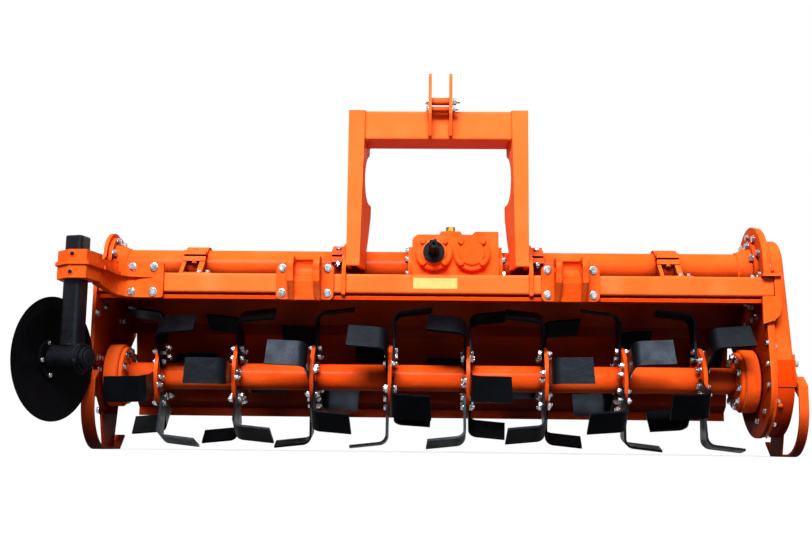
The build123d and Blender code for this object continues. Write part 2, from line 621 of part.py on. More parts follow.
def upright():
    """The right-hand upright: front plate, toed-in inner web and outer web."""
    front = face_of(
        [
            (HEAD_HALF, HEAD_FOOT_Z),
            (HEAD_HALF, HEAD_TOP),
            (HEAD_HALF - UPRIGHT_W_TOP, HEAD_TOP),
            (HEAD_HALF - UPRIGHT_W_FOOT, HEAD_FOOT_Z),
        ]
    )
    front = plate_xz(front, 0, HEAD_PLATE_T)
    tube_top = TUBE_Z + TUBE_R
    web_face = face_of(
        [
            (0, HEAD_FOOT_Z),
            (0, HEAD_TOP),
            (WEB_DEPTH_TOP, HEAD_TOP),
            (WEB_DEPTH_TOP - 18, WEB_NOTCH_Z + WEB_NOTCH_R),
            (WEB_NOTCH_DEPTH + 60, WEB_NOTCH_Z + WEB_NOTCH_R - 8),
            (WEB_NOTCH_DEPTH + 60, WEB_NOTCH_Z - WEB_NOTCH_R + 8),
            (WEB_DEPTH_LOW, WEB_NOTCH_Z - WEB_NOTCH_R),
            (WEB_DEPTH_LOW, WEB_NOTCH_Z - WEB_NOTCH_R - 40),
            (TUBE_Y - 40, tube_top + 30),
            (TUBE_Y - 62, tube_top - 12),
            (TUBE_Y - 72, HEAD_FOOT_Z),
        ]
    )
    web_face -= Pos(WEB_NOTCH_DEPTH + WEB_NOTCH_R, WEB_NOTCH_Z) * Circle(WEB_NOTCH_R)
    lean = degrees(atan2(UPRIGHT_W_TOP - UPRIGHT_W_FOOT, HEAD_TOP - HEAD_FOOT_Z))
    web = plate_yz(web_face, 0, WEB_T)
    web = Pos(HEAD_HALF - UPRIGHT_W_TOP, 0, HEAD_TOP) * Rot(0, 0, WEB_TOE_DEG) * Rot(0, -lean, 0) * (
        Pos(0, 0, -HEAD_TOP) * web
    )
    outer = block(HEAD_HALF - WEB_T, HEAD_HALF, 0, OUTER_WEB_DEPTH, HEAD_FOOT_Z, HEAD_TOP)
    return front + web + outer


def top_link_ears():
    back = HEAD_BEAM_SET
    front = back - EAR_W
    foot = HEAD_TOP - HEAD_BEAM_H + EAR_CUT / 2
    top = TOP_PIN_Z + EAR_RISE
    outline = face_of(
        [
            (back, foot),
            (back, HEAD_TOP + EAR_CUT / 2),
            (back - EAR_CUT / 2, top - EAR_CUT),
            (back - 1.3 * EAR_CUT, top),
            (front + EAR_CUT, top),
            (front, top - 1.1 * EAR_CUT),
            (front, HEAD_TOP - 1.9 * EAR_CUT),
            (back - 1.6 * EAR_CUT, foot),
        ]
    )
    pin_y = HEAD_BEAM_SET - EAR_W / 2
    ears = []
    for side in (-1, 1):
        x = EAR_MID_X + side * EAR_PITCH / 2
        ear = plate_yz(rounded(outline, EAR_CUT / 5), x - EAR_T / 2, x + EAR_T / 2)
        ear -= rod_x(TOP_PIN_R, x - EAR_T, x + EAR_T, pin_y, TOP_PIN_Z)
        ears.append(ear)
    return Compound(children=ears)


def top_link_spacers():
    inner = (EAR_PITCH - EAR_T) / 2
    pin_y = HEAD_BEAM_SET - EAR_W / 2
    pieces = []
    for rise, radius in SPACERS:
        pieces.append(rod_x(radius, EAR_MID_X - inner, EAR_MID_X + inner, pin_y, HEAD_TOP + rise))
    return Compound(children=pieces)


def hanger():
    """The right-hand plate that carries the headstock on the toolbar and the main tube."""
    outline = face_of(
        [
            (-HANGER_NOSE, BAR_BOTTOM - 8),
            (-HANGER_NOSE, BAR_TOP + 18),
            (62.0, TUBE_Z + TUBE_R + 2),
            (TUBE_Y - 40, TUBE_Z + TUBE_R + 22),
            (TUBE_Y + 40, TUBE_Z + TUBE_R + 22),
            (TUBE_Y + TUBE_R + 24, TUBE_Z + 30),
            (TUBE_Y + TUBE_R + 24, TUBE_Z - 30),
            (TUBE_Y + 40, TUBE_Z - TUBE_R - 10),
            (BAR_DEPTH, TUBE_Z - TUBE_R - 10),
            (BAR_DEPTH, BAR_BOTTOM - 8),
        ]
    )
    plate = plate_yz(rounded(outline, 7), HEAD_HALF, HEAD_HALF + HANGER_T)
    plate -= rod_x(TUBE_R, HEAD_HALF, HEAD_HALF + HANGER_T, TUBE_Y, TUBE_Z)
    return plate - toolbar_passage(HEAD_HALF, HEAD_HALF + HANGER_T)


def tube_clamp():
    """The right-hand split block round the main tube, outboard of the hanger."""
    x0 = HEAD_HALF + HANGER_T
    x1 = x0 + CLAMP_W
    lug = CLAMP_R + CLAMP_LUG
    turned = Pos(TUBE_Y, TUBE_Z) * Rot(0, 0, -CLAMP_SPLIT_DEG)
    ring = Pos(TUBE_Y, TUBE_Z) * Circle(CLAMP_R) + turned * Rectangle(2 * lug, 2 * CLAMP_LUG_H)
    halves = plate_yz(ring - turned * Rectangle(2 * lug, CLAMP_SLOT), x0, x1)
    return halves - rod_x(TUBE_R, x0, x1, TUBE_Y, TUBE_Z)


def saddle(x):
    """Split clamp on the main tube, with two legs to a foot on the toolbar."""
    x0, x1 = x - SADDLE_W / 2, x + SADDLE_W / 2
    lug = TUBE_R + SADDLE_LUG
    turned = Pos(TUBE_Y, TUBE_Z) * Rot(0, 0, -SADDLE_SPLIT_DEG)
    band = Pos(TUBE_Y, TUBE_Z) * Circle(TUBE_R + SADDLE_T) + turned * Rectangle(2 * lug, 2 * SADDLE_LUG_H)
    clamp = plate_yz(band - turned * Rectangle(2 * lug, SADDLE_SLOT), x0, x1)
    leg = face_of(
        [
            (SADDLE_LUG, BAR_TOP),
            (TUBE_Y - lug, TUBE_Z + SADDLE_SLOT),
            (TUBE_Y - TUBE_R, TUBE_Z),
            (TUBE_Y - TUBE_R + SADDLE_T, TUBE_Z - TUBE_R / 2),
            (BAR_DEPTH - SADDLE_SLOT, BAR_TOP),
        ]
    )
    clamp += plate_yz(leg, x0, x0 + SADDLE_LEG) + plate_yz(leg, x1 - SADDLE_LEG_WIDE, x1)
    foot_top = BAR_TOP + SADDLE_FOOT_T
    clamp += block(x0, x1 + SADDLE_FOOT_OUT, SADDLE_LUG, BAR_DEPTH - SADDLE_SLOT, BAR_TOP, foot_top)
    return clamp - rod_x(TUBE_R, x0, x1, TUBE_Y, TUBE_Z)


def hitch_bracket():
    """The right-hand bolted cast bracket, with two ears for a lower link ball."""
    inner = HEAD_HALF + HANGER_T + HITCH_PLATE_GAP
    outer = HITCH_HALF + HITCH_PLATE_OUT
    mid_z = (HITCH_PLATE_BOTTOM + HITCH_PLATE_TOP) / 2
    plate_h = HITCH_PLATE_TOP - HITCH_PLATE_BOTTOM
    plate_face = RectangleRounded(outer - inner, plate_h, HITCH_PLATE_CORNER)
    piece = plate_xz(Pos((inner + outer) / 2, mid_z) * plate_face, -HITCH_PLATE_T, 0)
    root_y = -HITCH_PLATE_T
    ear_bottom = HITCH_PLATE_BOTTOM - HITCH_EAR_R / 12
    ear_face = face_of(
        [
            (0, ear_bottom),
            (0, HITCH_PIN_Z + 0.9 * HITCH_EAR_R),
            (HITCH_PIN_Y, HITCH_PIN_Z + HITCH_EAR_R),
            (HITCH_PIN_Y - HITCH_EAR_R, HITCH_PIN_Z),
            (HITCH_PIN_Y - 0.7 * HITCH_EAR_R, HITCH_PIN_Z - HITCH_EAR_FOOT),
            (root_y - HITCH_PLATE_T, ear_bottom),
        ]
    )
    ear_face += Pos(HITCH_PIN_Y, HITCH_PIN_Z) * Circle(HITCH_EAR_R)
    for side in (-1, 1):
        mid = HITCH_HALF + side * HITCH_EAR_PITCH / 2
        ear = plate_yz(ear_face, mid - HITCH_EAR_T / 2, mid + HITCH_EAR_T / 2)
        for rim in (ear.faces().sort_by(Axis.X)[0], ear.faces().sort_by(Axis.X)[-1]):
            ear = fillet(rim.edges().sort_by(Axis.Y)[:-1], HITCH_EAR_ROUND)
        piece += ear
    x0 = HITCH_HALF - (HITCH_EAR_PITCH - HITCH_EAR_T) / 2
    x1 = HITCH_HALF + (HITCH_EAR_PITCH - HITCH_EAR_T) / 2
    web = face_of(
        [
            (root_y, ear_bottom),
            (root_y - HITCH_PLATE_T, ear_bottom),
            (HITCH_PIN_Y, HITCH_PIN_Z - HITCH_EAR_FOOT),
            (HITCH_PIN_Y, HITCH_PIN_Z + HITCH_SADDLE),
            (root_y, HITCH_PIN_Z + HITCH_SADDLE),
        ]
    )
    web_solid = plate_yz(web, x0 - HITCH_EAR_ROUND, x1 + HITCH_EAR_ROUND)
    piece += web_solid - rod_x(HITCH_RECESS_R, x0, x1, HITCH_PIN_Y, HITCH_PIN_Z)
    bore_x0, bore_x1 = HITCH_HALF - HITCH_EAR_PITCH, HITCH_HALF + HITCH_EAR_PITCH
    return piece - rod_x(HITCH_PIN_R, bore_x0, bore_x1, HITCH_PIN_Y, HITCH_PIN_Z)


# ---------------------------------------------------------------- hood and rear board
def hood():
    outline = face_of(
        [
            (BAR_DEPTH, HOOD_LIP_BOTTOM),
            (BAR_DEPTH, HOOD_TOP),
            (HOOD_REAR_Y, HOOD_TOP),
            HOOD_EDGE,
            (HOOD_EDGE[0], HOOD_EDGE[1] - HOOD_APRON),
            (HOOD_EDGE[0] - HOOD_T, HOOD_EDGE[1] - HOOD_APRON),
            (HOOD_EDGE[0] - HOOD_T, HOOD_EDGE[1] - HOOD_T / 2),
            (HOOD_REAR_Y - HOOD_T / 2, HOOD_TOP - HOOD_T),
            (BAR_DEPTH + HOOD_T, HOOD_TOP - HOOD_T),
            (BAR_DEPTH + HOOD_T, HOOD_LIP_BOTTOM),
        ]
    )
    roof = plate_yz(outline, WALL_IN_LEFT, WALL_IN_RIGHT)
    collar_cut = COLLAR_FLANGE_T + COLLAR_NECK
    roof -= rod_x(COLLAR_R + 1, WALL_IN_LEFT, WALL_IN_LEFT + collar_cut, TUBE_Y, TUBE_Z)
    return roof - rod_x(COLLAR_R + 1, WALL_IN_RIGHT - collar_cut, WALL_IN_RIGHT, TUBE_Y, TUBE_Z)


def hood_hinge(x):
    """Two fixed knuckles with the pin between them, on a strap under the hood's rear edge."""
    half = KNUCKLE_W / 2
    end = half + KNUCKLE_W * 0.6
    piece = rod_x(HINGE_PIN_R, x - end, x + end, HINGE_Y, HINGE_Z)
    edge = Vector(*HOOD_EDGE)
    uphill = (Vector(HOOD_REAR_Y, HOOD_TOP) - edge).normalized()
    up = uphill * KNUCKLE_W
    under = Vector(-uphill.Y, uphill.X) * -HINGE_STRAP_T
    knuckle = Vector(HINGE_Y, HINGE_Z)
    corners = [edge, edge + up, edge + up + under, edge + under]
    corners += [knuckle + Vector(HINGE_STRAP_T / 3, KNUCKLE_R), knuckle + Vector(0, HINGE_STRAP_T / 3)]
    strap = face_of([(v.X, v.Y) for v in corners])
    for x0, x1 in ((x - end, x - half), (x + half, x + end)):
        piece += rod_x(KNUCKLE_R, x0, x1, HINGE_Y, HINGE_Z) + plate_yz(strap, x0, x1)
    return piece


def rear_board():
    x0 = WALL_IN_LEFT + BOARD_SIDE_GAP
    x1 = WALL_IN_RIGHT - BOARD_SIDE_GAP
    fall = atan2(BOARD_REAR_Y - HINGE_Y, HINGE_Z - BOARD_BOTTOM)
    down = (sin(fall), -cos(fall))
    out = (cos(fall), sin(fall))
    length = (HINGE_Z - BOARD_BOTTOM) / cos(fall)
    start = KNUCKLE_R + BOARD_START
    strap_end = start + BOARD_STRAP

    def at(along, off):
        return (HINGE_Y + down[0] * along + out[0] * off, HINGE_Z + down[1] * along + out[1] * off)

    fold = length - (BOARD_LIP + BOARD_FOLD_DROP) / cos(fall)
    front_y, fold_z = at(fold, 0)
    rear_y = at(fold, BOARD_T)[0]
    lip_top = fold_z - BOARD_FOLD_DROP
    outline = face_of(
        [
            at(start, 0),
            at(start, BOARD_T),
            at(fold, BOARD_T),
            (rear_y + BOARD_FOLD_RUN, lip_top + BOARD_T),
            (rear_y + BOARD_FOLD_RUN, BOARD_BOTTOM),
            (front_y + BOARD_FOLD_RUN, BOARD_BOTTOM),
            (front_y + BOARD_FOLD_RUN, lip_top),
            at(fold, 0),
        ]
    )
    half_t = BOARD_T * 0.6
    strap_face = face_of([at(0, -half_t), at(0, half_t), at(strap_end, 2 * BOARD_T), at(strap_end, 0)])
    half = KNUCKLE_W / 2 - KNUCKLE_GAP
    board = plate_yz(outline, x0, x1)
    for x in HINGE_X:
        board += rod_x(KNUCKLE_R, x - half, x + half, HINGE_Y, HINGE_Z)
        board += plate_yz(strap_face, x - half, x + half)
        board -= rod_x(HINGE_PIN_R + RUNNING_FIT, x - half, x + half, HINGE_Y, HINGE_Z)
    return board


# ---------------------------------------------------------------- skids
def skid(face_x, side, out, width, rear_web):
    """A bent strap runner with the web plates that bolt it to the machine's end."""
    flat_start = SKID_FRONT_Y + SKID_BEND_R
    bend = Pos(flat_start, SKID_BEND_R) * (Circle(SKID_BEND_R) - Circle(SKID_BEND_R - SKID_T))
    corner = Pos(SKID_FRONT_Y + SKID_BEND_R / 2, SKID_BEND_R / 2) * Rectangle(SKID_BEND_R, SKID_BEND_R)
    quarter = bend & corner
    head = (SKID_FRONT_Y + SKID_HEAD_RUN, SKID_FOLD_Z + SKID_HEAD_RISE)
    rise = face_of(
        [
            (SKID_FRONT_Y, SKID_BEND_R),
            (SKID_FRONT_Y, SKID_FOLD_Z),
            head,
            (head[0] + SKID_T * 0.6, head[1] - SKID_T * 0.8),
            (SKID_FRONT_Y + SKID_T, SKID_FOLD_Z - SKID_T / 2),
            (SKID_FRONT_Y + SKID_T, SKID_BEND_R),
        ]
    )
    rear_end = SKID_FLAT_END + SKID_REAR_RUN
    run = face_of(
        [
            (flat_start, 0),
            (flat_start, SKID_T),
            (SKID_FLAT_END, SKID_T),
            (rear_end, SKID_REAR_RISE + SKID_T / 2),
            (rear_end + SKID_T * 0.9, SKID_REAR_RISE),
            (SKID_FLAT_END + SKID_T / 3, 0),
        ]
    )
    x0, x1 = sorted((face_x + side * out, face_x + side * (out - width)))
    strap = plate_yz(quarter + rise + run, x0, x1)
    web_x0, web_x1 = sorted((face_x, face_x + side * SKID_WEB_T))
    web_front_y = SKID_FRONT_Y + SKID_T / 2
    front_web = face_of(
        [
            (web_front_y, WEB_FRONT_LOW),
            (web_front_y, SKID_FOLD_Z - SKID_T / 2),
            (head[0], head[1] - SKID_T),
            (head[0], WEB_FRONT_TOP),
            (web_front_y + WEB_FRONT_W, WEB_FRONT_TOP),
            (web_front_y + WEB_FRONT_W, 0.5 * (WEB_FRONT_LOW + WEB_FRONT_TOP)),
        ]
    )
    return strap + plate_yz(front_web, web_x0, web_x1) + plate_yz(face_of(rear_web), web_x0, web_x1)


def rear_webs():
    """Outlines in (Y, Z) of the skids' rear webs: the left one has an arm to the wall's rear corner."""
    top = ROTOR_Z - BEARING_R - SKID_T
    mid = TUBE_Y + WEB_REAR_MID
    front = SKID_FRONT_Y + 1.33 * SKID_BEND_R
    low = [(front, SKID_T / 2), (SKID_FLAT_END, SKID_T / 2)]
    high = [(mid + WEB_REAR_W / 2, top), (mid - WEB_REAR_W / 2, top)]
    arm = [(SKID_FLAT_END + ARM_LOW[0], ARM_LOW[1]), (SKID_FLAT_END + ARM_HIGH[0], ARM_HIGH[1])]
    return low + arm + high, low + high


# ---------------------------------------------------------------- rotor
def rotor_shaft():
    x0 = WALL_IN_LEFT + DRUM_GAP + DRUM_LENGTH + DRUM_RING_T
    x1 = WALL_IN_RIGHT - DRUM_GAP - DRUM_LENGTH - DRUM_RING_T
    shaft = rod_x(ROTOR_TUBE_R, x0, x1, TUBE_Y, ROTOR_Z)
    for x in FLANGE_X:
        shaft += rod_x(FLANGE_R, x - FLANGE_T / 2, x + FLANGE_T / 2, TUBE_Y, ROTOR_Z)
    return shaft - rod_x(ROTOR_TUBE_R - ROTOR_TUBE_WALL, x0, x1, TUBE_Y, ROTOR_Z)


def rotor_hub(wall_x, side, stub_length):
    """End drum of the rotor with its bolted ring and stub shaft; side points away from the wall."""
    face = wall_x + side * DRUM_GAP
    drum_end = face + side * DRUM_LENGTH
    ring_end = drum_end + side * DRUM_RING_T

    def span(radius, a, b):
        return rod_x(radius, min(a, b), max(a, b), TUBE_Y, ROTOR_Z)

    hub = chamfer(span(DRUM_R, face, drum_end).edges().filter_by(GeomType.CIRCLE), 3)
    hub += chamfer(span(DRUM_RING_R, drum_end, ring_end).edges().filter_by(GeomType.CIRCLE), 2)
    return hub + span(STUB_R, wall_x - side * stub_length, face)


def blade():
    """One right-hand L blade, upright on the rotor axis with its flange face at X = 0."""
    top = sqrt(SWING_R**2 - (BLADE_TIP_W / 2) ** 2)
    inner = BLADE_BEND_R - BLADE_T
    tilt = radians(BLADE_OPEN_DEG)
    leg = (BLADE_REACH - BLADE_BEND_R * (1 - sin(tilt))) / cos(tilt)
    knee = top - BLADE_BEND_R * cos(tilt) - leg * sin(tilt)
    centre = Vector(BLADE_BEND_R, knee)
    up = Vector(-sin(tilt), cos(tilt))
    along = Vector(cos(tilt), sin(tilt)) * (leg + BLADE_T)
    strip = face_of([(0, BLADE_ROOT_R), (0, knee), (BLADE_T, knee), (BLADE_T, BLADE_ROOT_R)])
    reach = 2 * BLADE_BEND_R
    wedge = [centre, centre + Vector(-reach, 0), centre + Vector(-reach, reach), centre + up * reach]
    ring = Pos(centre.X, centre.Y) * (Circle(BLADE_BEND_R) - Circle(inner))
    strip += ring & face_of([(v.X, v.Y) for v in wedge])
    root, edge = centre + up * inner, centre + up * BLADE_BEND_R
    strip += face_of([(v.X, v.Y) for v in (root, edge, edge + along, root + along)])
    bar = plate_xz(strip, -BLADE_TIP_W / 2, BLADE_TIP_W / 2)
    half_root, half_tip = BLADE_SHANK_W / 2, BLADE_TIP_W / 2
    side_face = face_of(
        [
            (-half_root, BLADE_ROOT_R),
            (-half_root, FLANGE_R + 20),
            (-half_tip, knee + 6),
            (-half_tip, top),
            (half_tip, top),
            (half_tip, knee + 6),
            (half_root, FLANGE_R + 20),
            (half_root, BLADE_ROOT_R),
        ]
    )
    bar = bar & plate_yz(side_face, 0, BLADE_REACH)
    slant = BLADE_REACH - BLADE_TIP_W * tan(radians(BLADE_TIP_SLANT))
    plan = Polyline((0, -half_tip), (BLADE_REACH, -half_tip), (slant, half_tip), (0, half_tip), close=True)
    return bar & plate_xy(make_face(plan), 0, SWING_R)


def blade_sets():
    """All blades: the even ones of a flange point to -X, the odd ones to +X."""
    right = blade()
    left = mirrored(right)
    sets = {"left": [], "right": []}
    for i, x in enumerate(FLANGE_X):
        for k in range(BLADES_PER_FLANGE):
            angle = BLADE_FIRST_DEG + BLADE_STEP_DEG * i + k * 360.0 / BLADES_PER_FLANGE
            name, one, side = ("left", left, -1) if k % 2 == 0 else ("right", right, 1)
            place = Pos(x + side * FLANGE_T / 2, TUBE_Y, ROTOR_Z) * Rot(90 - angle, 0, 0)
            sets[name].append(place * one)
    return sets


# ---------------------------------------------------------------- disc coulter
def coulter_arm():
    """Cast arm: plate on the toolbar, upright web with a rib, and the clamp round the post."""
    plate_mid = (ARM_PLATE_LEFT + ARM_PLATE_RIGHT) / 2
    mid_z = BAR_MID_Z + ARM_PLATE_RISE
    outline = RectangleRounded(ARM_PLATE_W, ARM_PLATE_H, ARM_PLATE_ROUND)
    arm = plate_xz(Pos(plate_mid, mid_z) * outline, -ARM_PLATE_T, 0)
    root = Pos(ARM_PLATE_LEFT, -ARM_PLATE_T)
    side = face_of(
        [
            (-ARM_PLATE_T, mid_z - ARM_PLATE_H / 2),
            (-ARM_PLATE_T, mid_z + ARM_PLATE_H / 2),
            (ARM_END_Y, ARM_END_HIGH),
            (ARM_END_Y, ARM_END_LOW),
        ]
    )
    web = plate_xy(root * face_of(ARM_WEB), mid_z - ARM_PLATE_H, mid_z + ARM_PLATE_H)
    arm += web & plate_yz(side, ARM_PLATE_LEFT - ARM_PLATE_W, ARM_PLATE_RIGHT)
    rib_z0, rib_z1 = ARM_RIB_Z - ARM_RIB_H / 2, ARM_RIB_Z + ARM_RIB_H / 2
    arm += plate_xy(root * face_of(ARM_RIB), rib_z0, rib_z1)
    centre = Pos(COULTER_X, COULTER_Y)
    box = rounded(centre * face_of(CLAMP_BOX), CLAMP_BOX_ROUND)
    arm += plate_xy(box, CLAMP_BOX_BOTTOM, CLAMP_BOX_TOP)
    arm += plate_xy(offset(box, ARM_RIB_OUT), rib_z0, rib_z1)
    hole_w = SHANK_W + 2 * SHANK_CLEAR
    hole = centre * Rot(0, 0, SHANK_TURN_DEG) * RectangleRounded(hole_w, hole_w, SHANK_CORNER + SHANK_CLEAR)
    return arm - plate_xy(hole, CLAMP_BOX_BOTTOM, CLAMP_BOX_TOP)


def along_axle(offset):
    """A plane on the disc's axle, with its normal inboard along the axle."""
    return Plane(origin=DISC_CENTRE + AXLE_DIR * offset, x_dir=(0, 0, 1), z_dir=AXLE_DIR)


def coulter_shank():
    """The post with the fixed hub housing that it carries."""
    post_bottom = DISC_Z + HUB_R * 0.67
    turned = Pos(COULTER_X, COULTER_Y) * Rot(0, 0, SHANK_TURN_DEG)
    section = turned * RectangleRounded(SHANK_W, SHANK_W, SHANK_CORNER)
    post = plate_xy(section, post_bottom, SHANK_TOP)
    post = chamfer(post.faces().sort_by(Axis.Z)[-1].edges(), 3)
    hub = extrude(along_axle(HUB_START) * Circle(HUB_R), HUB_LENGTH)
    cap = extrude(along_axle(HUB_START + HUB_LENGTH) * Circle(HUB_R * 0.8), HUB_CAP_T)
    bore = extrude(along_axle(HUB_START) * Circle(AXLE_R + RUNNING_FIT), HUB_LENGTH - HUB_END_WALL)
    return post + hub + cap - bore


def coulter_disc():
    """Dished disc with its hub flange and axle, standing on its face at the origin."""
    bowl_r = (DISC_R**2 + DISC_DISH**2) / (2 * DISC_DISH)
    ball = Pos(0, 0, bowl_r) * Sphere(bowl_r)
    core = Pos(0, 0, bowl_r) * Sphere(bowl_r - DISC_T)
    bowl = (ball & Pos(0, 0, DISC_DISH / 2) * Cylinder(DISC_R * 1.1, DISC_DISH)) - core
    flange_z0 = DISC_T - 1
    flange_z1 = HUB_START - HUB_GAP
    flange = Pos(0, 0, (flange_z0 + flange_z1) / 2) * Cylinder(HUB_FLANGE_R, flange_z1 - flange_z0)
    axle_end = HUB_START + HUB_LENGTH - HUB_END_WALL - END_GAP
    axle_start = DISC_T / 2
    axle = Pos(0, 0, (axle_start + axle_end) / 2) * Cylinder(AXLE_R, axle_end - axle_start)
    return along_axle(0) * (bowl + flange + axle)


# ---------------------------------------------------------------- assembly
def add(name, shape):
    PIECES[name] = shape


add("toolbar", toolbar())
add("main_tube_left", main_tube(WALL_IN_LEFT, GEARBOX_LEFT - GEARBOX_FLANGE_T, WALL_IN_LEFT, 1))
add("main_tube_right", main_tube(GEARBOX_RIGHT + GEARBOX_FLANGE_T, WALL_IN_RIGHT, WALL_IN_RIGHT, -1))
add("left_wall", left_wall())
add("bearing_housing", bearing_housing())
add("right_wall", right_wall())
add("gear_case", gear_case())
add("case_guard", case_guard())
add("toolbar_end_plate", end_plate())
add("gearbox", gearbox())
add("input_cover", input_cover())
add("blank_cover", blank_cover())
add("seal_collar", seal_collar())
add("breather_cap", breather_cap())
add("pto_shaft", pto_shaft())
add("crossbeam", crossbeam())
add("upright_right", upright())
add("upright_left", mirrored(upright()))
add("top_link_ears", top_link_ears())
add("top_link_spacers", top_link_spacers())
add("hanger_right", hanger())
add("hanger_left", mirrored(hanger()))
add("tube_clamp_right", tube_clamp())
add("tube_clamp_left", mirrored(tube_clamp()))
add("saddle_left", saddle(SADDLE_X[0]))
add("saddle_right", saddle(SADDLE_X[1]))
add("hitch_bracket_right", hitch_bracket())
add("hitch_bracket_left", mirrored(hitch_bracket()))
add("hood", hood())
add("hood_hinges", Compound(children=[hood_hinge(x) for x in HINGE_X]))
add("rear_board", rear_board())
arm_web, plain_web = rear_webs()
add("skid_left", skid(WALL_OUT_LEFT, -1, SKID_OUT_LEFT, SKID_W_LEFT, arm_web))
add("skid_right", skid(GEAR_CASE_OUT, 1, SKID_OUT_RIGHT, SKID_W_RIGHT, plain_web))
add("rotor_shaft", rotor_shaft())
add("rotor_hub_left", rotor_hub(WALL_IN_LEFT, 1, WALL_T + BEARING_T - END_GAP))
add("rotor_hub_right", rotor_hub(WALL_IN_RIGHT, -1, WALL_T + STUB_BORE - END_GAP))
for set_name, blades in blade_sets().items():
    add("blades_" + set_name, Compound(children=blades))
add("coulter_arm", coulter_arm())
add("coulter_shank", coulter_shank())
add("coulter_disc", coulter_disc())

whole = [piece.bounding_box() for piece in PIECES.values()]
ORIGIN = Vector(
    (min(b.min.X for b in whole) + max(b.max.X for b in whole)) / 2,
    (min(b.min.Y for b in whole) + max(b.max.Y for b in whole)) / 2,
    min(b.min.Z for b in whole),
)
for name, piece in PIECES.items():
    export_step(Pos(-ORIGIN.X, -ORIGIN.Y, -ORIGIN.Z) * piece, "parts/" + name + ".step")
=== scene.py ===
import math
import random

import bpy
from mathutils import Matrix, Vector


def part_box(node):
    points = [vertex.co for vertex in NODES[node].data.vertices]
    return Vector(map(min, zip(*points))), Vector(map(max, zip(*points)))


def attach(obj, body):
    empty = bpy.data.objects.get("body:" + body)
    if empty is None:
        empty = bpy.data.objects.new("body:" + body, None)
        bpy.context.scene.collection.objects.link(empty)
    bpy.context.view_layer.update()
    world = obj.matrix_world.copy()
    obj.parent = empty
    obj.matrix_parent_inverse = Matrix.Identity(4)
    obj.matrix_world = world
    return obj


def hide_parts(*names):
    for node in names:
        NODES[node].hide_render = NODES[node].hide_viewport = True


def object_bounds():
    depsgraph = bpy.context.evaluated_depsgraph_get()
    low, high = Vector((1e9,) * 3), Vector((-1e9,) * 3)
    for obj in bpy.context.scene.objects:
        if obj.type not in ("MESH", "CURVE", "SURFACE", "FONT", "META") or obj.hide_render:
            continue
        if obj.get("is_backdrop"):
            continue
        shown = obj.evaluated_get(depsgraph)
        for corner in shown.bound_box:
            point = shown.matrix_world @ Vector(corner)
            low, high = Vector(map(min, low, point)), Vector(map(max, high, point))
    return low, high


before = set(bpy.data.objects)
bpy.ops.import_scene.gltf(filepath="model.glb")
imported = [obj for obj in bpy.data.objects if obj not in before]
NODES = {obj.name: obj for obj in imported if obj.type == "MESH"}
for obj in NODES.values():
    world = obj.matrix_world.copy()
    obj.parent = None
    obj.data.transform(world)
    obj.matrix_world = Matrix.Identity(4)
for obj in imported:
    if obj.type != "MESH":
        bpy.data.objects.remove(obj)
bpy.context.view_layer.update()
rng = random.Random(7)

# ---------------------------------------------------------------- places
# The dressing is written in machine millimetres: X = 0 midway between the lower hitch brackets,
# Y = 0 the toolbar's front face, Z = 0 the floor.
bracket_sides = [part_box("hitch_bracket_left")[0].x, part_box("hitch_bracket_right")[1].x]
MID_X = sum(bracket_sides) / 2
FRONT_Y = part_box("toolbar")[0].y


def at(x, y, z):
    return Vector((MID_X + x / 1000, FRONT_Y + y / 1000, z / 1000))


class Box:
    """A CAD node's box in machine millimetres."""

    def __init__(self, node):
        low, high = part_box(node)
        self.x0, self.x1 = (low.x - MID_X) * 1000, (high.x - MID_X) * 1000
        self.y0, self.y1 = (low.y - FRONT_Y) * 1000, (high.y - FRONT_Y) * 1000
        self.z0, self.z1 = low.z * 1000, high.z * 1000
        self.x = (self.x0 + self.x1) / 2
        self.y = (self.y0 + self.y1) / 2
        self.z = (self.z0 + self.z1) / 2


BOX = {name: Box(name) for name in NODES}
X, Y, Z = Vector((1, 0, 0)), Vector((0, 1, 0)), Vector((0, 0, 1))
TUBE_Y, TUBE_Z = 175.0, 625.0  # axis of the main tube, and of the gear case's upper end
ROTOR_Y, ROTOR_Z = 175.0, 250.0  # axis of the rotor, and of the gear case's lower end


# ---------------------------------------------------------------- materials
def srgb(r, g, b):
    def one(v):
        v /= 255
        return v / 12.92 if v <= 0.04045 else ((v + 0.055) / 1.055) ** 2.4

    return (one(r), one(g), one(b), 1)


